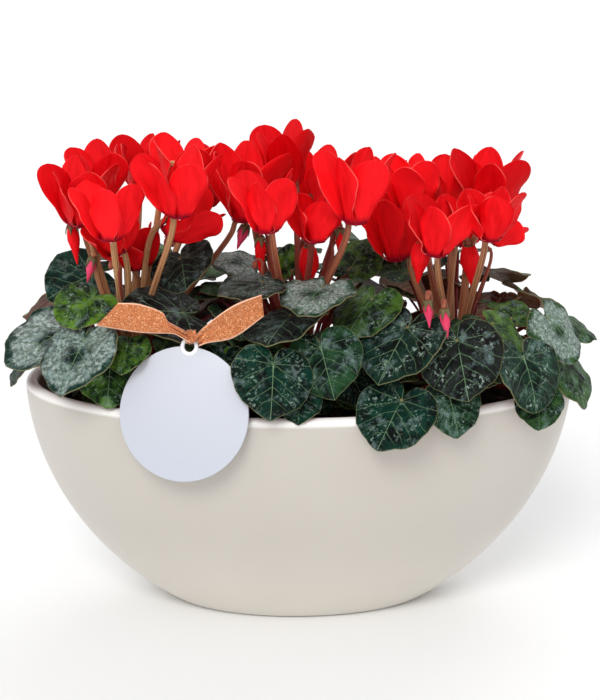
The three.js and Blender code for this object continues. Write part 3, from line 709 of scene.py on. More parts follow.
class Piece:
    """The points and triangles of one piece, with what its materials read at each point."""

    def __init__(self, name, *materials):
        self.name = name
        self.materials = materials
        self.points = []
        self.faces = []
        self.slots = []
        self.spots = []
        self.tones = []
        self.count = 0

    def add(self, points, faces, slots=0, spots=PLAIN, tone=PLAIN):
        """Adds triangles. slots is one material's number or one for each triangle."""
        points = np.asarray(points, float)
        self.points.append(points)
        self.faces.append(np.asarray(faces, int) + self.count)
        self.slots.append(np.broadcast_to(slots, len(faces)))
        self.spots.append(np.broadcast_to(spots, points.shape))
        self.tones.append(np.broadcast_to(tone, points.shape))
        self.count += len(points)

    def finish(self):
        points = np.concatenate(self.points) * MM
        faces = np.concatenate(self.faces).astype(np.int32)
        mesh = bpy.data.meshes.new(self.name)
        mesh.vertices.add(len(points))
        mesh.vertices.foreach_set("co", points.astype(np.float32).ravel())
        mesh.loops.add(faces.size)
        mesh.loops.foreach_set("vertex_index", faces.ravel())
        mesh.polygons.add(len(faces))
        mesh.polygons.foreach_set("loop_start", np.arange(0, faces.size, 3, dtype=np.int32))
        mesh.polygons.foreach_set("material_index", np.concatenate(self.slots).astype(np.int32))
        mesh.polygons.foreach_set("use_smooth", np.ones(len(faces), bool))
        mesh.update(calc_edges=True)
        for name, values in (("spot", self.spots), ("tone", self.tones)):
            attribute = mesh.attributes.new(name, "FLOAT_VECTOR", "POINT")
            attribute.data.foreach_set("vector", np.concatenate(values).astype(np.float32).ravel())
        for material in self.materials:
            mesh.materials.append(material)
        return add_object(self.name, mesh)


def dress(made, slot, *nodes):
    """The piece rides on the part and stands for these nodes of it."""
    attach(made, "root")
    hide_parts(*nodes)


def grid_faces(rows, columns, closed=False):
    """The triangles of a grid of points, whose columns may close round on themselves."""
    row = np.arange(rows - 1)[:, None] * columns
    column = np.arange(columns if closed else columns - 1)[None, :]
    after = (column + 1) % columns
    a = (row + column).ravel()
    b = (row + after).ravel()
    c = (row + columns + after).ravel()
    d = (row + columns + column).ravel()
    return np.concatenate([np.stack([a, b, c], 1), np.stack([a, c, d], 1)])


def add_rings(piece, rings, ends, place=Matrix(), slot=0, spots=PLAIN, tone=PLAIN, flipped=False):
    """Adds a stack of rings of points, with a middle point that closes each end."""
    sides = len(rings[0])
    around = np.arange(sides)
    after = (around + 1) % sides
    first = len(rings) * sides
    last_ring = first - sides
    start = np.stack([np.full(sides, first), after, around], 1)
    stop = np.stack([np.full(sides, first + 1), last_ring + around, last_ring + after], 1)
    faces = np.concatenate([grid_faces(len(rings), sides, closed=True), start, stop])
    points = moved(np.concatenate([*rings, ends]), place)
    piece.add(points, faces[:, ::-1] if flipped else faces, slot, spots, tone)


def angles_of(sides):
    return np.linspace(0, WHOLE_TURN, sides, endpoint=False)


def level_ring(length, width, angles, height):
    """An oval ring of points at one height, from half of its length and of its width."""
    return np.stack([length * np.cos(angles), width * np.sin(angles), np.full(len(angles), height)], 1)


def heading(degrees):
    """A level vector, 1 long, that points this way."""
    return np.array([math.cos(math.radians(degrees)), math.sin(math.radians(degrees)), 0])


def grid_spots(along, across):
    """What materials read over a grid: how far along its piece and across it each point lies."""
    along, across = np.meshgrid(along, across, indexing="ij")
    return np.stack([along, across, np.zeros_like(along)], -1).reshape(-1, 3)


def point_normals(points, faces):
    a, b, c = (points[faces[:, k]] for k in range(3))
    face_normals = np.cross(b - a, c - a)
    normals = np.zeros_like(points)
    for k in range(3):
        np.add.at(normals, faces[:, k], face_normals)
    return normals / np.maximum(np.linalg.norm(normals, axis=1, keepdims=True), 1e-12)


def add_sheet(piece, points, faces, thickness, spots, tone=PLAIN, slots=(0, 0, 0)):
    """Adds a sheet as a thin solid. slots are the materials of its top, underside and rim."""
    normals = point_normals(points, faces)
    count = len(points)
    skins = np.concatenate([points + normals * thickness / 2, points - normals * thickness / 2])
    edges = np.concatenate([faces[:, [0, 1]], faces[:, [1, 2]], faces[:, [2, 0]]])
    _, where, times = np.unique(np.sort(edges, axis=1), axis=0, return_index=True, return_counts=True)
    rim = edges[where[times == 1]]
    a, b = rim[:, 0], rim[:, 1]
    walls = np.concatenate([np.stack([b, a, count + a], 1), np.stack([b, count + a, count + b], 1)])
    every = np.concatenate([faces, faces[:, ::-1] + count, walls])
    kinds = np.repeat(slots, [len(faces), len(faces), len(walls)])
    spots = np.broadcast_to(spots, points.shape)
    piece.add(skins, every, kinds, np.concatenate([spots, spots]), tone)


def smooth_path(points, steps):
    """A centripetal Catmull-Rom curve through the points, with so many steps in each span."""
    points = np.asarray(points, float)
    ends = np.concatenate([[2 * points[0] - points[1]], points, [2 * points[-1] - points[-2]]])
    path = []
    for i in range(len(points) - 1):
        p0, p1, p2, p3 = ends[i:i + 4]
        t1 = max(np.linalg.norm(p1 - p0), 1e-9) ** 0.5
        t2 = t1 + max(np.linalg.norm(p2 - p1), 1e-9) ** 0.5
        t3 = t2 + max(np.linalg.norm(p3 - p2), 1e-9) ** 0.5
        t = np.linspace(t1, t2, steps, endpoint=False)[:, None]
        a1 = (t1 - t) / t1 * p0 + t / t1 * p1
        a2 = (t2 - t) / (t2 - t1) * p1 + (t - t1) / (t2 - t1) * p2
        a3 = (t3 - t) / (t3 - t2) * p2 + (t - t2) / (t3 - t2) * p3
        b1 = (t2 - t) / t2 * a1 + t / t2 * a2
        b2 = (t3 - t) / (t3 - t1) * a2 + (t - t1) / (t3 - t1) * a3
        path.append((t2 - t) / (t2 - t1) * b1 + (t - t1) / (t2 - t1) * b2)
    return np.concatenate([*path, points[-1:]])


def add_tube(piece, path, radii, sides, slot=0, tone=PLAIN):
    """Adds a round tube along a path, with its radius at each point."""
    path = np.asarray(path, float)
    radii = np.broadcast_to(radii, len(path))
    tangents = np.gradient(path, axis=0)
    tangents /= np.linalg.norm(tangents, axis=1, keepdims=True)
    side = np.cross(tangents[0], (0.3, 0.9, 0.1))
    angles = angles_of(sides)[:, None]
    rings = []
    for point, tangent, radius in zip(path, tangents, radii):
        side = side - tangent * side.dot(tangent)
        side /= np.linalg.norm(side)
        up = np.cross(tangent, side)
        rings.append(point + radius * (np.cos(angles) * side + np.sin(angles) * up))
    spots = grid_spots(np.linspace(0, 1, len(path)), np.cos(angles))
    spots = np.concatenate([spots, [[0, 0, 0], [1, 0, 0]]])
    add_rings(piece, rings, path[[0, -1]], slot=slot, spots=spots, tone=tone)


def moved(points, matrix):
    """Points carried by a 4x4 matrix."""
    grid = np.asarray(matrix)
    return points @ grid[:3, :3].T + grid[:3, 3]


def turned(axis, degrees):
    return Matrix.Rotation(math.radians(degrees), 4, axis)


# Leaves

# Which of the foliage's materials the stalks have
STALK_SLOT = 3

# How far over the soil the leaves' heights start
STALK_FOOT = 3

# A blade's drawn measures: its roll to either side, then how much its length curls down, its
# sides cup up and its edge waves, as shares of its length
LEAF_ROLL_RANGE = 8
LEAF_CURLS = (0.02, 0.22)
LEAF_CUPS = (-0.2, 0.12)
LEAF_WAVES = (0.02, 0.05)

# Rows of leaves behind each crown, the turn where a row starts and how far it sweeps, and how
# much each measure is drawn to either side
BACK_ROWS = (
    {"count": 4, "reach": 64, "rise": 58, "droop": 38, "length": 36},
    {"count": 3, "reach": 43, "rise": 84, "droop": 12, "length": 34},
)
BACK_SWEEP = (25, 130)
BACK_RANGES = {"turn": 8, "reach": 5, "rise": 8, "droop": 8, "length": 4, "aim": 15}

# The two bends of a leaf stalk, by how far out and up they lie from its foot and back and down
# from its tip, as shares of its reach and rise
LOW_BEND = (0.12, 0.45)
HIGH_BEND = (0.35, 0.12)


def leaf_edge(turn):
    """A leaf's outline as its reach from the stalk, by how many degrees off the tip."""
    off = np.abs(turn)
    heart = np.cos(np.radians(off / 2)) ** 0.6
    tip = 0.85 + 0.15 * np.exp(-off / 25)
    return np.maximum(heart * tip, 0.09)


def leaf_at(crown, turn, reach, rise, aim, droop, length, roll, draw):
    return SimpleNamespace(
        turn=turn,
        base=np.array([*crown, SOIL_LEVEL + STALK_FOOT + rise]) + reach * heading(turn),
        aim=aim,
        droop=droop,
        length=length,
        roll=roll + draw(-LEAF_ROLL_RANGE, LEAF_ROLL_RANGE),
        curl=draw(*LEAF_CURLS),
        cup=draw(*LEAF_CUPS),
        wave=draw(*LEAF_WAVES),
        phase=draw(0, 360),
    )


def back_leaves(crown, seed):
    """Two rows of leaves behind the crown."""
    draw = Draws(seed)
    start, sweep = BACK_SWEEP
    leaves = []
    for row in BACK_ROWS:
        for i in range(row["count"]):
            off = {measure: draw(-most, most) for measure, most in BACK_RANGES.items()}
            own = {measure: row.get(measure, 0) + off[measure] for measure in off}
            own["turn"] += start + ((i + 0.5) * sweep) / row["count"]
            own["aim"] += own["turn"]
            leaves.append(leaf_at(crown, roll=0, draw=draw, **own))
    return leaves


def leaves_of(name, seed):
    crown = CROWNS[name]
    draw = Draws(seed)
    front = [leaf_at(crown, *row, draw) for row in LEAVES[name]]
    return [*front, *back_leaves(crown, BACK_SEEDS[name])]


def leaf_matrix(leaf):
    place = Matrix.Translation(leaf.base)
    return place @ turned("Z", leaf.aim) @ turned("Y", leaf.droop) @ turned("X", leaf.roll)


# Where a blade's points lie: by the turn off its tip, and by the share of the way to its edge
HALF_LEAF_TURNS = np.concatenate([np.arange(0, 150, 6.0), np.linspace(150, 180, 9)])
LEAF_TURNS = np.concatenate([HALF_LEAF_TURNS, -HALF_LEAF_TURNS[-2:0:-1]])
LEAF_SHARES = np.array([0.14, 0.3, 0.45, 0.58, 0.7, 0.8, 0.88, 0.94, 0.975, 1.0])

# A blade's unevenness, as shares of its length: notches in its edge by how many there are, and
# how far it swells up between its veins
EDGE_NOTCHES = {9: 0.014, 21: 0.008}
QUILTING = 0.016
QUILT_MARGIN = 0.06


def quilting(x, y, share):
    """How far a blade swells up at each point, 0 at its veins and its edge."""
    side = np.abs(y)
    forward = x - side * (VEIN_SLANT + VEIN_BOW * side)
    fanned = (np.arctan2(side, x) - FIRST_VEIN) / FAN_ANGLE
    between = np.sin(math.pi * np.where(forward > 0, forward / VEIN_STEP, fanned)) ** 2
    between = between * (1 - np.exp(-(side / QUILT_MARGIN) ** 2)) * np.minimum(np.hypot(x, y) * 4, 1)
    return QUILTING * between * (1 - share ** 6)


def blade_grid(leaf, turns, shares, draw):
    """A heart-shaped blade's points, quilted between its veins, with an uneven waved edge."""
    outline = leaf_edge(turns)
    ragged = 1
    for notches, depth in EDGE_NOTCHES.items():
        ragged = ragged + depth * np.sin(np.radians(turns * notches + draw(0, 360)))
    outline = outline * ragged
    edge = np.stack([outline * np.cos(np.radians(turns)), outline * np.sin(np.radians(turns))], 1)
    middle = np.array([LEAF_MIDDLE, 0.0])
    flat = np.concatenate([middle[None], (middle + shares[:, None, None] * (edge - middle)).reshape(-1, 2)])
    share = np.concatenate([[0], np.repeat(shares, len(turns))])
    turn = np.concatenate([[0], np.tile(turns, len(shares))])
    x, y = flat[:, 0], flat[:, 1]
    lift = -leaf.curl * x * np.abs(x) + leaf.cup * y * y
    lift = lift + share ** 2 * leaf.wave * np.sin(np.radians(turn * 5 + leaf.phase))
    lift = lift + share ** 4 * 0.35 * leaf.wave * np.sin(np.radians(turn * 13 + 2 * leaf.phase))
    lift = lift + quilting(x, y, share)
    points = moved(np.stack([x, y, lift], 1) * leaf.length, leaf_matrix(leaf))
    return points, np.stack([x, y, share], 1)


def add_blade(piece, leaf, tone, draw, turns=LEAF_TURNS, shares=LEAF_SHARES):
    points, spots = blade_grid(leaf, turns, shares, draw)
    columns = len(turns)
    column = np.arange(columns)
    hub = np.stack([np.zeros(columns, int), 1 + column, 1 + (column + 1) % columns], 1)
    rings = grid_faces(len(shares), columns, closed=True)[:, ::-1] + 1
    faces = np.concatenate([hub, rings])
    add_sheet(piece, points, faces, LEAF_THICKNESS, spots, tone, slots=(0, 1, 2))


def stalk_path(leaf, crown):
    """A leaf stalk's curve, out of the collar round the crown and up to the blade."""
    out = heading(leaf.turn)
    root = np.array([*crown, CROWN_HEIGHT + GAP + COLLAR_HEIGHT / 2]) + out * COLLAR_RADIUS
    tip = leaf.base
    reach = math.hypot(tip[0] - root[0], tip[1] - root[1])
    rise = tip[2] - root[2]
    low = root + out * reach * LOW_BEND[0]
    low[2] = root[2] + rise * LOW_BEND[1]
    high = tip - out * reach * HIGH_BEND[0]
    high[2] = tip[2] - rise * HIGH_BEND[1]
    t = np.linspace(0, 1, STALK_STEPS)[:, None]
    return (1 - t) ** 3 * root + 3 * (1 - t) ** 2 * t * low + 3 * (1 - t) * t * t * high + t ** 3 * tip


def foliage_piece(name, index, materials):
    """The plant's own leaves, each blade on its stalk."""
    crown = CROWNS[name]
    piece = Piece(f"foliage_{name}", *materials)
    draw = Draws(LEAF_LOOK_SEED + index)
    tones = list(LEAF_TONES[name])
    for leaf in leaves_of(name, LEAF_SEED + LEAF_SEED_STEP * index):
        yellow, silver = tones.pop(0) if tones else (draw(0.1, 0.6), draw(0.1, 0.8))
        tone = (yellow, silver, draw(0, 1))
        add_blade(piece, leaf, tone, draw)
        radii = STALK_RADIUS * np.linspace(1.1, 0.9, STALK_STEPS)
        add_tube(piece, stalk_path(leaf, crown), radii, 8, STALK_SLOT, tone)
    return piece


# Small leaves that fill the plants between their own leaves. Those behind the crown may stand
# higher, and each stalk's first points, which leave the shared collar, aren't checked.
FILLER_TRIES = 800
FILLER_LIMIT = 54
FILLER_CLEARANCE = 1.7
FILLER_REACHES = (20, 80)
FILLER_RISES = (8, 64)
FILLER_RISE_BEHIND = 36
FILLER_TURN_RANGE = 50
FILLER_DROOPS = (-12, 55)
FILLER_LENGTHS = (13, 24)
FILLER_ROLL_RANGE = 20
FILLER_STALK_RADIUS = 0.9
FILLER_STALK_FREE = 5
FILLER_HALF = np.concatenate([np.arange(0, 150, 12.0), [150, 162, 172, 180]])
FILLER_TURNS = np.concatenate([FILLER_HALF, -FILLER_HALF[-2:0:-1]])
FILLER_SHARES = np.array([0.3, 0.6, 0.85, 0.96, 1.0])

# How small leaves keep clear: inside the bowl's side, over the soil and over the lip, and how
# far out over the lip they reach as a share of the bowl
SIDE_CLEARANCE = 13
SOIL_CLEARANCE = 5
LIP_CLEARANCE = 3
OUTER_REACH = 1.1


def points_tree(pieces):
    points = np.concatenate([group for piece in pieces for group in piece.points])
    tree = KDTree(len(points))
    for index, point in enumerate(points):
        tree.insert(point, index)
    tree.balance()
    return tree


def inside_bowl(points):
    """Whether points clear the soil, and the bowl's lip or its inner side."""
    half = np.array([BOWL_LENGTH / 2, BOWL_WIDTH / 2]) - SIDE_CLEARANCE
    reach = np.hypot(points[:, 0] / half[0], points[:, 1] / half[1])
    floor = np.where(reach < 1, SOIL_LEVEL + SOIL_CLEARANCE, BOWL_HEIGHT + LIP_CLEARANCE)
    return bool(np.all((points[:, 2] > floor) & (reach < OUTER_REACH)))


def nearest(points, others):
    """The least distance between two sets of points."""
    return float(np.sqrt(((points[:, None, :] - others[None, :, :]) ** 2).sum(-1).min()))


def add_fillers(piece, name, index, tree):
    """Small leaves wherever the drawn place is clear of everything that stands there already."""
    crown = CROWNS[name]
    draw = Draws(FILLER_SEED + index)
    added = []
    for _ in range(FILLER_TRIES):
        turn = draw(-180, 180)
        reach = draw(*FILLER_REACHES)
        behind = max(math.sin(math.radians(turn)), 0)
        rise = draw(FILLER_RISES[0], FILLER_RISES[1] + FILLER_RISE_BEHIND * behind)
        aim = turn + draw(-FILLER_TURN_RANGE, FILLER_TURN_RANGE)
        droop = draw(*FILLER_DROOPS)
        length = draw(*FILLER_LENGTHS)
        roll = draw(-FILLER_ROLL_RANGE, FILLER_ROLL_RANGE)
        leaf = leaf_at(crown, turn, reach, rise, aim, droop, length, roll, draw)
        tone = (draw(0.1, 0.7), draw(0, 0.6), draw(0, 1))
        path = stalk_path(leaf, crown)
        blade, _ = blade_grid(leaf, FILLER_TURNS, FILLER_SHARES, Draws(EDGE_SEED))
        checked = np.concatenate([blade, path[FILLER_STALK_FREE:]])
        if not inside_bowl(checked) or any(tree.find(point)[2] < FILLER_CLEARANCE for point in checked):
            continue
        if added and nearest(checked, np.concatenate(added)) < FILLER_CLEARANCE:
            continue
        added.append(checked)
        add_blade(piece, leaf, tone, Draws(EDGE_SEED), FILLER_TURNS, FILLER_SHARES)
        add_tube(piece, path, FILLER_STALK_RADIUS, 5, STALK_SLOT, tone)
        if len(added) == FILLER_LIMIT:
            break


# Flowers

# How far along a petal and across it its points lie, from its root at 0 and from side to side
ROOT_SHARES = [0, 0.02, 0.045, 0.08, 0.12]
TIP_SHARES = [0.94, 0.965, 0.985, 1.0]
PETAL_SHARES = np.concatenate([ROOT_SHARES, np.linspace(0.18, 0.9, 13), TIP_SHARES])
PETAL_ACROSS = np.linspace(-1, 1, 13)

# A petal's fold at the mouth, which rolls out over a share of its length and dips below the
# rim, the flare of its root, where its tip starts to curl, and how bluntly it is rounded
FOLD_LENGTH = 0.08
FOLD_DIP = 2.5
FLARE_WIDTH = 1.1
FLARE_LENGTH = 0.05
TIP_START = 0.6
TIP_ROUNDNESS = 2.4

# How deep a petal's ruffled sides, their fine flutter and the crease down its middle are
RUFFLE_DEPTH = 1.9
FLUTTER_DEPTH = 0.5
CREASE_DEPTH = 0.6
CREASE_WIDTH = 0.14

# The flower tube's radius and height: up its outside, round its rim, and back up its inside
TUBE_PROFILE = [
    (0.3, TUBE_LENGTH),
    (2.4, TUBE_LENGTH - 0.1),
    (TUBE_TOP_RADIUS, TUBE_LENGTH - 1.2),
    (4.4, 7.5),
    (5.6, 3.5),
    (6.5, 0.9),
    (7.0, -0.3),
    (6.6, -1.0),
    (5.9, -0.4),
    (5.2, 2.2),
    (4.0, 6.0),
    (2.4, 9.4),
    (0.3, 10.4),
]
TUBE_SIDES = 20
TUBE_SCALLOP = 0.05
DARK_MOUTH_HEIGHT = 3
CALYX_HEIGHT = TUBE_LENGTH + PETAL_THICKNESS_IN_SOLID / 2

BUD_SHARES = np.array([0, 0.03, 0.08, 0.16, 0.26, 0.38, 0.5, 0.62, 0.74, 0.84, 0.92, 0.97, 1.0])
BUD_SIDES = 30
BUD_FURLS = 5
FURL_DEPTH = 0.1

# Stems: how far from the crown's middle they start, from the least, by how much more, how far
# along they bend, and how far to the side of a bud they pass
STEM_ROOT = 3
STEM_ROOT_RANGE = 5
STEM_BEND = 0.38
BUD_HOOK_CLEARANCE = 3.4

# Young buds: where their stems start and bend, the hook at the top by how far across and up each
# point of it lies, and the radius along stem and bud
YOUNG_ROOT = 7
YOUNG_BEND = 0.3
YOUNG_HOOK = [(0, -7), (0, -1), (2, 1.6), (4.2, 0), (4.6, -5)]
YOUNG_SHARES = [0, 0.8, 0.87, 0.94, 1]
YOUNG_RADII = [1.2, 0.9, 1.9, 2.1, 0.5]

# Sepals: how many, where their points lie from root to tip, and their size
SEPALS = 5
SEPAL_SHARES = (0, 0.3, 0.6, 0.85, 1.0)
SEPAL_HALF_WIDTH = 1.9
SEPAL_RISE = 0.9
SEPAL_BOW = 0.35
SEPAL_CLEARANCE = 0.45
SEPAL_THICKNESS = 0.4
BLOOM_SEPAL_LENGTH = 5.5
BUD_SEPAL_LENGTH = 6

# Corm: the sides, heights and least radius of its rings
CORM_SIDES = 40
CORM_SHARES = np.linspace(0.02, 1, 12)
CORM_LEAST_RADIUS = 4


def flower_matrix(crown, x, y, z, lean):
    towards_crown = math.degrees(math.atan2(crown[1] - y, crown[0] - x))
    return Matrix.Translation((x, y, z)) @ turned("Y", lean) @ turned("Z", towards_crown)


def petals_of(length, spread, draw):
    return [
        SimpleNamespace(
            turn=turn + draw(-4, 4),
            length=length * draw(0.94, 1.02),
            width=PETAL_WIDTH + PETAL_WIDENING * length + draw(-1, 1),
            splay=spread + draw(-0.05, 0.05),
            curl=PETAL_CURL + draw(-0.1, 0.1),
            twist=draw(32, 42),
            dish=draw(-0.25, 0.05),
        )
        for turn in PETAL_TURNS
    ]


def flowers_of(name, seed):
    """The places and measures of a plant's blooms and buds, drawn in the order of the solids."""
    crown = CROWNS[name]
    draw = Draws(seed)
    blooms = []
    for x, y, z, length, lean, spread in BLOOMS[name]:
        place = flower_matrix(crown, x, y, z, lean)
        petals = petals_of(length, spread, draw)
        blooms.append(SimpleNamespace(place=place, petals=petals, share=draw(0, 1)))
    buds = []
    for x, y, z, length, radius, lean, colour in BUDS[name]:
        place = flower_matrix(crown, x, y, z, lean)
        shape = {"length": length, "radius": radius, "colour": colour}
        buds.append(SimpleNamespace(place=place, share=draw(0, 1), **shape))
    return blooms, buds


def petal_points(petal, draw):
    """A petal's grid of points: rolled back at the mouth, broad, ruffled, and curled at its tip."""
    share = PETAL_SHARES[:, None]
    across = PETAL_ACROSS[None, :]
    pointed, curled, swept = draw(0, 0.45), draw(-0.3, 0.45), draw(-0.07, 0.07)
    folded = 1 - np.exp(-share / FOLD_LENGTH)
    tip = np.clip(share - TIP_START, 0, 1)
    outward = petal.splay * share + petal.curl * share ** 2 + curled * tip ** 2
    out = MOUTH_RADIUS + MOUTH_ROLL * folded + petal.length * outward
    height = petal.length * share - FOLD_DIP * folded * (1 - share)
    half = petal_half_width(petal, share, pointed)
    twist = np.radians(petal.twist * share ** 0.4)
    side = across * half + swept * petal.length * share ** 2
    relief = petal.dish * half * across ** 2 + petal_relief(share, across, draw)
    x = out + side * np.sin(twist) + relief * np.cos(twist)
    y = side * np.cos(twist) - relief * np.sin(twist)
    points = np.stack([x, y, np.broadcast_to(height, x.shape)], -1).reshape(-1, 3)
    return moved(points, turned("Z", petal.turn))


def petal_half_width(petal, share, pointed):
    swelling = np.sin(math.pi / 2 * np.minimum(share / PETAL_BROADEST, 1)) ** PETAL_TAPER
    rounding = np.clip((share - PETAL_BROADEST) / (1 - PETAL_BROADEST), 0, 1)
    rounded = np.sqrt(np.maximum(1 - rounding ** TIP_ROUNDNESS, 0.0004))
    root = PETAL_ROOT_WIDTH / 2
    half = (root + (petal.width / 2 - root) * swelling) * rounded
    return half * (1 - pointed * rounding ** 2) + FLARE_WIDTH * np.exp(-share / FLARE_LENGTH)


def petal_relief(share, across, draw):
    """The ruffles, flutter and middle crease of a petal, which fade at its root and tip."""
    wave = WHOLE_TURN * (draw(0.8, 1.5) * share + draw(0, 1))
    ruffle = np.where(across < 0, np.sin(wave), np.sin(1.25 * wave + 1.7))
    fading = np.sin(math.pi * share) ** 0.5
    ruffles = RUFFLE_DEPTH * np.abs(across) ** 2.2 * ruffle * fading
    flutter = FLUTTER_DEPTH * np.abs(across) ** 4 * np.sin(wave * 3.1 + across) * fading
    groove = np.exp(-(across / CREASE_WIDTH) ** 2) * np.sin(math.pi * np.minimum(share * 1.1, 1))
    return ruffles + flutter - CREASE_DEPTH * groove


def add_bloom(name, number, bloom, materials, draw):
    """Five petals folded back from a short tube, with a dark mouth and the stigma below it."""
    piece = Piece(f"flower_{name}_{number}", *materials)
    tone = (draw(0.2, 0.9), draw(0, 1), 0)
    faces = grid_faces(len(PETAL_SHARES), len(PETAL_ACROSS))
    spots = grid_spots(PETAL_SHARES, PETAL_ACROSS)
    for petal in bloom.petals:
        points = moved(petal_points(petal, draw), bloom.place)
        own = (tone[0] + draw(-0.35, 0.35), draw(0, 1), 0)
        add_sheet(piece, points, faces, PETAL_THICKNESS, spots, own)
    add_flower_tube(piece, bloom.place, tone)
    add_stigma(piece, bloom.place)
    dress(piece.finish(), "petals", f"bloom_{name}_{number}")
    return piece


def add_flower_tube(piece, place, tone):
    angles = angles_of(TUBE_SIDES)
    scallop = 1 + TUBE_SCALLOP * np.cos(5 * angles)
    rings = [
        level_ring(radius * scallop, radius * scallop, angles, height) for radius, height in TUBE_PROFILE
    ]
    faces = grid_faces(len(rings), TUBE_SIDES, closed=True)
    along = [0.03 if height < DARK_MOUTH_HEIGHT else 0.3 for _, height in TUBE_PROFILE]
    spots = grid_spots(along, np.zeros(TUBE_SIDES))
    piece.add(moved(np.concatenate(rings), place), faces, 0, spots, tone)


def add_stigma(piece, place):
    path = moved(np.array([(0, 0, 6), (0.2, 0.1, 2), (0, 0, -1.5), (0.1, 0, -3.2)]), place)
    add_tube(piece, path, [0.7, 0.6, 0.6, 0.75], 8, slot=1)


def bud_profile(share):
    """How thick a bud is along its length, from its calyx to its tip."""
    return (0.62 + 0.38 * np.sin(math.pi * np.minimum(share / 0.7, 1))) * (1 - share ** 2.6) ** 0.75


def add_bud(name, number, bud, material):
    """A furled bud that hangs tip down, its petals wound round each other in a spiral."""
    piece = Piece(f"bud_petals_{name}_{number}", material)
    angles = angles_of(BUD_SIDES)
    rings = []
    for share in BUD_SHARES:
        winding = np.mod(BUD_FURLS * (angles / WHOLE_TURN + 0.35 * share), 1)
        furl = 1 + FURL_DEPTH * (winding - 0.5) * math.sin(math.pi * min(share * 1.2, 1))
        radius = max(bud.radius * bud_profile(share), 0.12) * furl
        rings.append(level_ring(radius, radius, angles, -bud.length * share))
    ends = [[0, 0, 0], [0, 0, -bud.length - 0.1]]
    spots = grid_spots(0.25 + 0.7 * BUD_SHARES, np.cos(angles) * 0.8)
    spots = np.concatenate([spots, [[0.25, 0, 0], [0.95, 0, 0]]])
    add_rings(piece, rings, ends, bud.place, spots=spots, tone=(0.6, bud.share, 0), flipped=True)
    dress(piece.finish(), f"{bud.colour}_buds", f"bud_{name}_{number}")
    return piece


def stem_root(crown, aim, out):
    """Where a stem starts, this far out from the crown's middle towards where it goes."""
    return np.array([*crown, CROWN_HEIGHT - 1]) + aim / np.linalg.norm(aim) * out


def stem_path(crown, place, top, hook_reach, share):
    """A flower stem's curve, up from the crown and over in a hook to the top of its flower."""
    hook = moved(np.array([
        (hook_reach, 0, -8),
        (hook_reach, 0, top * 0.5),
        (hook_reach * 0.62, 0, top + 4),
        (hook_reach * 0.1, 0, top + 3),
        (0, 0, top + GAP),
    ]), place)
    aim = hook[0] - np.array([*crown, hook[0][2]])
    root = stem_root(crown, aim, STEM_ROOT + STEM_ROOT_RANGE * share)
    bend = root + (hook[0] - root) * STEM_BEND
    bend[2] = (root[2] + hook[0][2]) / 2
    return smooth_path([root, bend, *hook], 7)


def add_calyx(piece, place, radius, top, length):
    """Five small pointed sepals that clasp the top of a flower or bud."""
    rows = []
    for share in SEPAL_SHARES:
        swelling = 0.6 + 0.6 * math.sin(math.pi * min(share + 0.2, 1))
        half = SEPAL_HALF_WIDTH * (1 - share) ** 0.7 * swelling
        out = radius * min(0.45 + 0.75 * share, 1) + SEPAL_CLEARANCE
        z = top + SEPAL_RISE - (length + SEPAL_RISE) * share ** 1.2
        rows.append([(out, -half, z), (out + SEPAL_BOW, 0, z), (out, half, z)])
    sepal = np.array(rows, float).reshape(-1, 3)
    for k in range(SEPALS):
        points = moved(sepal, place @ turned("Z", 360 / SEPALS * k + 20))
        add_sheet(piece, points, grid_faces(len(rows), 3), SEPAL_THICKNESS, PLAIN, slots=(1, 1, 1))


def add_corm(piece, crown):
    """The half-buried corm: flattened, lumpy and corky."""
    angles = angles_of(CORM_SIDES)
    rings = []
    for share in CORM_SHARES:
        radius = CORM_RADIUS * math.sin(math.pi * (0.06 + 0.84 * share) ** 0.8) ** 0.5
        lumps = 0.02 * np.sin(7 * angles + 9 * share) - 0.03
        radius = max(radius, CORM_LEAST_RADIUS) * (1 + lumps)
        rings.append(level_ring(radius, radius, angles, CORM_DEPTH * share))
    place = Matrix.Translation((*crown, CROWN_HEIGHT - CORM_DEPTH))
    add_rings(piece, rings, [[0, 0, 0], [0, 0, CORM_DEPTH]], place, slot=2)


def add_young_buds(piece, name, draw):
    """Small closed buds, still brown, on thin stems that hook over just above the leaves."""
    crown = CROWNS[name]
    for x, y, z, side in YOUNG_BUDS[name]:
        aim = np.array([x - crown[0], y - crown[1], 0])
        root = stem_root(crown, aim, YOUNG_ROOT)
        bend = root + aim * YOUNG_BEND
        bend[2] = (root[2] + z) / 2
        hook = [(x + across * side, y, z + up) for across, up in YOUNG_HOOK]
        path = smooth_path([root, bend, *hook], 6)
        radii = np.interp(np.linspace(0, 1, len(path)), YOUNG_SHARES, YOUNG_RADII)
        add_tube(piece, path, radii, 8, tone=(0.1, draw(0, 9), 0))


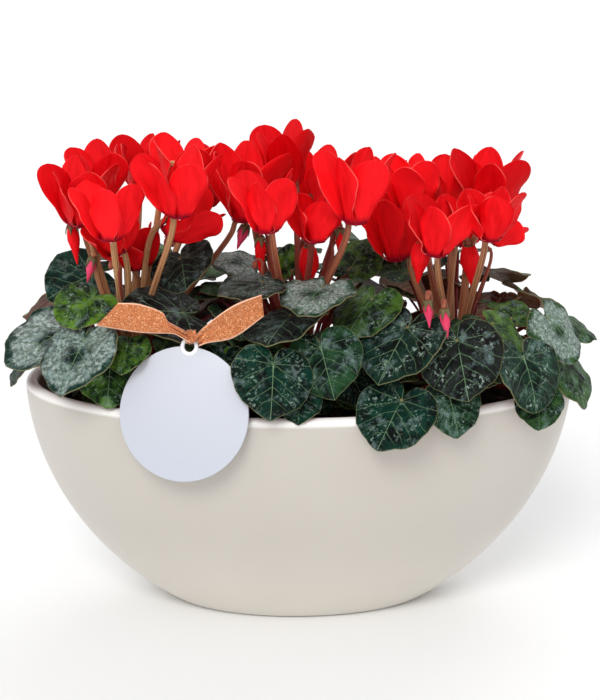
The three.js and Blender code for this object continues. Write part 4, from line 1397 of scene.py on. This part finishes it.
def add_stems(name, blooms, buds, materials, draw):
    """A plant's corm, with the stems and sepals of its flowers and buds."""
    crown = CROWNS[name]
    piece = Piece(f"corm_and_stems_{name}", *materials)
    add_corm(piece, crown)
    for bloom in blooms:
        path = stem_path(crown, bloom.place, CALYX_HEIGHT, HOOK_REACH, bloom.share)
        radii = STEM_RADIUS * np.linspace(1.12, 0.86, len(path))
        tan = STEM_TANS[name] + draw(-0.15, 0.15)
        add_tube(piece, path, radii, 10, tone=(tan, draw(0, 9), 0))
        add_calyx(piece, bloom.place, TUBE_TOP_RADIUS + 0.6, CALYX_HEIGHT, BLOOM_SEPAL_LENGTH)
    for bud in buds:
        path = stem_path(crown, bud.place, 0, bud.radius + BUD_HOOK_CLEARANCE, bud.share)
        radii = STEM_RADIUS * np.linspace(1.0, 0.75, len(path))
        tan = STEM_TANS[name] * 0.5 + draw(-0.1, 0.1)
        add_tube(piece, path, radii, 10, tone=(tan, draw(0, 9), 0))
        add_calyx(piece, bud.place, min(bud.radius, 4) * 0.95, 0, BUD_SEPAL_LENGTH)
    add_young_buds(piece, name, draw)
    dress(piece.finish(), "stems", f"corm_{name}")
    return piece


# Bowl and soil


def bowl_ring(height, inset, sides=BOWL_SIDES, size_height=None):
    """A level ring of points round the bowl, a distance inside its outer side."""
    depth = (BOWL_HEIGHT - (height if size_height is None else size_height)) / BOWL_CURVE_DEPTH
    scale = (1 - depth ** BOWL_CURVE_POWER) ** (1 / BOWL_CURVE_POWER)
    length, width = BOWL_LENGTH / 2 * scale - inset, BOWL_WIDTH / 2 * scale - inset
    return level_ring(length, width, angles_of(sides), height)


def bowl_rings():
    """The bowl's rings: its rounded foot, the outer side, the rounded lip and the inner side."""
    rings = []
    for degrees in (0, 25, 50, 75):
        back = FOOT_ROUNDING * (1 - math.sin(math.radians(degrees)))
        up = FOOT_ROUNDING * (1 - math.cos(math.radians(degrees)))
        rings.append(bowl_ring(up, back))
    side_top = BOWL_HEIGHT - LIP_RADIUS
    for height in np.linspace(SIDE_START, side_top, 34):
        rings.append(bowl_ring(height, 0))
    for degrees in (15, 35, 55, 75, 90, 105, 125, 145, 165):
        inset = LIP_RADIUS * (1 - math.cos(math.radians(degrees)))
        height = side_top + LIP_RADIUS * math.sin(math.radians(degrees))
        rings.append(bowl_ring(height, inset, size_height=side_top))
    for height in np.linspace(side_top, BOWL_FLOOR, 20):
        rings.append(bowl_ring(height, BOWL_WALL))
    return rings


def add_bowl(material):
    piece = Piece("ceramic_bowl", material)
    rings = bowl_rings()
    ends = [[0, 0, 0], [0, 0, BOWL_FLOOR]]
    add_rings(piece, rings, ends, spots=np.concatenate([*rings, ends]) / (1, 1, BOWL_HEIGHT))
    dress(piece.finish(), "ceramic", "pot")


def soil_height(x, y):
    """The soil's height at a place: mounded, with clods and a rough surface."""
    edge = np.hypot(x / (BOWL_LENGTH / 2), y / (BOWL_WIDTH / 2))
    clods = 0.8 * np.sin(x / 7 + y / 11) + 0.7 * np.sin(x / 13 - y / 6)
    coarse = 1.6 * noise.noise(Vector((x / 6, y / 6, 1.7)))
    fine = 0.9 * noise.noise(Vector((x / 2.2, y / 2.2, 5.1)))
    return float(SOIL_LEVEL + SOIL_MOUND * (1 - edge ** 2) + clods) + coarse + fine


def add_soil(material):
    """Soil that fills the bowl, rough on top, with loose crumbs lying on it."""
    piece = Piece("soil_surface", material)
    bottom = BOWL_FLOOR + GAP
    rings = [bowl_ring(height, SOIL_INSET, SOIL_SIDES) for height in (bottom, *SOIL_SIDE_HEIGHTS)]
    for share in SOIL_TOP_SHARES:
        ring = bowl_ring(SOIL_LEVEL, SOIL_INSET, SOIL_SIDES)
        ring[:, :2] *= share
        ring[:, 2] = [soil_height(x, y) for x, y in ring[:, :2]]
        rings.append(ring)
    add_rings(piece, rings, [[0, 0, bottom], [0, 0, soil_height(0, 0)]])
    add_crumbs(piece)
    dress(piece.finish(), "soil", "soil")


def add_crumbs(piece):
    draw = Draws(CRUMB_SEED)
    shape = bmesh.new()
    bmesh.ops.create_icosphere(shape, subdivisions=1, radius=1)
    corners = np.array([corner.co for corner in shape.verts])
    faces = np.array([[corner.index for corner in face.verts] for face in shape.faces])
    shape.free()
    for _ in range(CRUMB_COUNT):
        angle = draw(0, WHOLE_TURN)
        share = math.sqrt(draw(0, 0.93))
        x = (BOWL_LENGTH / 2 - CRUMB_INSET) * share * math.cos(angle)
        y = (BOWL_WIDTH / 2 - CRUMB_INSET) * share * math.sin(angle)
        size = draw(*CRUMB_SIZES)
        stretch = np.array([draw(0.8, 1.6), draw(0.6, 1.1), draw(0.5, 0.9)]) * size
        dents = np.array([[1 + draw(-0.2, 0.2)] for _ in corners])
        place = Matrix.Translation((x, y, soil_height(x, y) + size * 0.2)) @ turned("Z", draw(0, 360))
        piece.add(moved(corners * stretch * dents, place), faces)


# Tag


def tag_matrix():
    return Matrix.Translation(TAG_CENTRE) @ turned("Z", TAG_TURN) @ turned("X", -TAG_LEAN)


def arc(centre, radius, start, stop, steps):
    angles = np.radians(np.linspace(start, stop, steps))
    return np.stack([centre[0] + radius * np.cos(angles), centre[1] + radius * np.sin(angles)], 1)


def plate_curve(outlines, thickness, bevel):
    """A flat plate with bevelled edges, from an outline and the holes in it."""
    curve = bpy.data.curves.new("plate", "CURVE")
    curve.dimensions = "2D"
    curve.fill_mode = "BOTH"
    curve.extrude = (thickness / 2 - bevel) * MM
    curve.bevel_depth = bevel * MM
    curve.bevel_resolution = 3
    curve.offset = -bevel * MM
    for outline in outlines:
        spline = curve.splines.new("POLY")
        spline.points.add(len(outline) - 1)
        spline.use_cyclic_u = True
        for point, (x, y) in zip(spline.points, outline):
            point.co = (x * MM, y * MM, 0, 1)
    return curve


def mesh_from_curve(curve):
    holder = add_object(curve.name, curve)
    depsgraph = bpy.context.evaluated_depsgraph_get()
    mesh = bpy.data.meshes.new_from_object(holder.evaluated_get(depsgraph))
    bpy.data.objects.remove(holder)
    bpy.data.curves.remove(curve)
    return mesh


def add_plate(piece, outlines, thickness, bevel, slot):
    mesh = mesh_from_curve(plate_curve(outlines, thickness, bevel))
    mesh.calc_loop_triangles()
    corners = np.array([corner.co for corner in mesh.vertices]) / MM
    faces = np.array([triangle.vertices[:] for triangle in mesh.loop_triangles])
    upright = np.stack([corners[:, 0], -corners[:, 2], corners[:, 1]], 1)
    piece.add(moved(upright, tag_matrix()), faces, slot, upright / TAG_RADIUS)
    bpy.data.meshes.remove(mesh)


def add_tag(card, eye):
    """The blank round tag with a raised eye at its top."""
    piece = Piece("blank_tag", card, eye)
    eye_centre = (0, TAG_RADIUS)
    notch_turn = math.degrees(EYE_OUTER / TAG_RADIUS) * NOTCH_SHARE
    disc = arc((0, 0), TAG_RADIUS, 90 + notch_turn, 450 - notch_turn, 160)
    notch = arc(eye_centre, EYE_OUTER - EYE_OVERLAP, -NOTCH_START, NOTCH_START - 180, 24)
    add_plate(piece, [np.concatenate([disc, notch])], TAG_THICKNESS, TAG_BEVEL, 0)
    ring = arc(eye_centre, EYE_OUTER, 0, 360, 65)[:-1]
    hole = arc(eye_centre, EYE_HOLE, 360, 0, 49)[:-1]
    add_plate(piece, [ring, hole], EYE_THICKNESS, EYE_BEVEL, 1)
    made = piece.finish()
    smooth_by_angle(made, 40)
    dress(made, "tag", "tag")


def smooth_by_angle(made, degrees):
    """Keeps the edges sharper than this angle hard, and the rest smooth."""
    shape = bmesh.new()
    shape.from_mesh(made.data)
    bmesh.ops.remove_doubles(shape, verts=shape.verts, dist=1e-6)
    for edge in shape.edges:
        if len(edge.link_faces) == 2:
            edge.smooth = edge.calc_face_angle() < math.radians(degrees)
    shape.to_mesh(made.data)
    shape.free()


# Ribbon, whose tails are pleated by the knot and bowed where they are flat
TAIL_ACROSS = np.linspace(-1, 1, 17)
TAIL_STEPS = 12
PLEAT_DEPTH = 1.7
PLEATED_SHARE = 0.55
RIPPLE_DEPTH = 0.5

# The loop's half width, pinched in the eye and spread outside it, and its fold, then half of the
# knot's size each way, its creases and how far it swells
LOOP_PINCHED = 1.4
LOOP_SPREAD = 0.9
LOOP_FOLD = 0.35
KNOT_HALF = (3.0, 2.3, 3.7)
KNOT_CREASE = 0.25
KNOT_SWELL = 0.16


def add_tail(piece, rows, bow):
    """A tail of the ribbon: pleated where it leaves the knot, and flat at its cut end."""
    middles = smooth_path([middle for middle, _ in rows], TAIL_STEPS)
    halves = smooth_path([half for _, half in rows], TAIL_STEPS)
    shares = np.linspace(0, 1, len(middles))
    along = shares[:, None]
    across = TAIL_ACROSS[None, :]
    points = middles[:, None, :] + halves[:, None, :] * across[..., None]
    gathered = (1 - np.minimum(along / PLEATED_SHARE, 1)) ** 1.4
    depth = bow * (1 - across ** 2) * (1 - gathered)
    depth = depth + PLEAT_DEPTH * gathered * np.sin(across * math.pi * 2.2)
    depth = depth + RIPPLE_DEPTH * np.sin(along * 9 + across * 1.3) * along
    points[..., 1] += depth
    faces = grid_faces(len(middles), len(TAIL_ACROSS))
    spots = grid_spots(shares, TAIL_ACROSS)
    add_sheet(piece, points.reshape(-1, 3), faces, RIBBON_THICKNESS, spots)


def add_loop(piece):
    """The turn of ribbon that passes through the tag's eye."""
    eye_top = TAG_RADIUS + EYE_HOLE - 2 * GAP
    centre = eye_top - LOOP_THICKNESS + LOOP_RADIUS
    angles = np.linspace(0, WHOLE_TURN, 33)
    widths = np.linspace(-1, 1, 7)
    angle, width = np.meshgrid(angles, widths, indexing="ij")
    half = LOOP_PINCHED + LOOP_SPREAD * np.sin(angle / 2) ** 2
    radius = LOOP_RADIUS + LOOP_FOLD * np.cos(width * 5)
    points = np.stack([width * half, radius * np.cos(angle), centre + radius * np.sin(angle)], -1)
    points = moved(points.reshape(-1, 3), tag_matrix())
    faces = grid_faces(len(angles), len(widths))
    add_sheet(piece, points, faces, RIBBON_THICKNESS, grid_spots(angles / 7, widths))


def add_knot(piece):
    """The knot: a band of ribbon drawn tight round the place where the tails cross."""
    widths = np.linspace(-1, 1, 9)
    angles = angles_of(40)
    width, angle = np.meshgrid(widths, angles, indexing="ij")
    crease = KNOT_CREASE * np.sin(angle * 3 + width * 4)
    swell = 1 + KNOT_SWELL * np.cos(width * 6)
    x = width * KNOT_HALF[0] + 0.5 * np.sin(angle)
    y = (KNOT_HALF[1] * swell + crease) * np.cos(angle) * (1 - 0.25 * width ** 2)
    z = (KNOT_HALF[2] * swell + crease) * np.sin(angle) * (1 - 0.2 * width ** 2)
    spots = grid_spots(widths * 0.9, angles / 7)[:, [1, 0, 2]]
    spots = np.concatenate([spots, [PLAIN, PLAIN]])
    place = Matrix.Translation(KNOT) @ turned("Y", KNOT_TURN)
    ends = [[-2.6, 0, 0], [2.6, 0, 0]]
    add_rings(piece, np.stack([x, y, z], -1), ends, place, spots=spots, flipped=True)


def add_ribbon(material):
    piece = Piece("ribbon_bow", material)
    add_loop(piece)
    add_knot(piece)
    add_tail(piece, LEFT_TAIL, bow=-1.0)
    add_tail(piece, RIGHT_TAIL, bow=1.0)
    made = piece.finish()
    dress(made, "ribbon", "ribbon")


# Stage: the floor's size in metres, and the strength of the even light from all round
FLOOR_SIZE = 12
WORLD_STRENGTH = 0.8


def add_floor(material):
    bpy.ops.mesh.primitive_plane_add(size=FLOOR_SIZE)
    floor = bpy.context.object
    floor.name = "floor"
    floor.data.materials.append(material)


def add_sun(name, direction, spread, strength, colour=(1, 1, 1)):
    data = bpy.data.lights.new(name, "SUN")
    data.angle = math.radians(spread)
    data.energy = strength
    data.color = colour
    sun = add_object(name, data)
    sun.rotation_euler = Vector(direction).to_track_quat("-Z", "Y").to_euler()


def add_light():
    """A white studio: even light from all round, a soft key from the front, and a fill behind."""
    world = bpy.data.worlds.new("studio")
    world.use_nodes = True
    background = world.node_tree.nodes["Background"]
    background.inputs["Color"].default_value = (1, 1, 1, 1)
    background.inputs["Strength"].default_value = WORLD_STRENGTH
    bpy.context.scene.world = world
    add_sun("key", direction=(0.25, 0.85, -0.8), spread=24, strength=1.35)
    add_sun("back", direction=(-0.3, -0.7, -0.8), spread=40, strength=0.5, colour=(0.93, 0.96, 1.0))
    bpy.context.scene.view_settings.view_transform = "Standard"


def add_plants():
    foliage = [leaf_top_material(), leaf_under_material(), leaf_rim_material(), stalk_material()]
    skins = {"red": scarlet_petal_material(), "pink": pink_petal_material()}
    stems = [stem_material(), calyx_material(), corm_material()]
    petals = [skins["red"], stigma_material()]
    flowers = []
    for index, name in enumerate(CROWNS):
        blooms, buds = flowers_of(name, FLOWER_SEED + index)
        draw = Draws(FLOWER_LOOK_SEED + index)
        for number, bloom in enumerate(blooms, 1):
            flowers.append(add_bloom(name, number, bloom, petals, draw))
        for number, bud in enumerate(buds, 1):
            flowers.append(add_bud(name, number, bud, skins[bud.colour]))
        flowers.append(add_stems(name, blooms, buds, stems, draw))
    plants = [foliage_piece(name, index, foliage) for index, name in enumerate(CROWNS)]
    tree = points_tree([*flowers, *plants])
    for index, (name, piece) in enumerate(zip(CROWNS, plants)):
        add_fillers(piece, name, index, tree)
        dress(piece.finish(), "leaves", f"leaves_{name}")


add_camera()
add_light()
add_floor(floor_material())
add_bowl(glaze_material())
add_soil(soil_material())
add_plants()
add_tag(tag_material(), eye_material())
add_ribbon(ribbon_material())
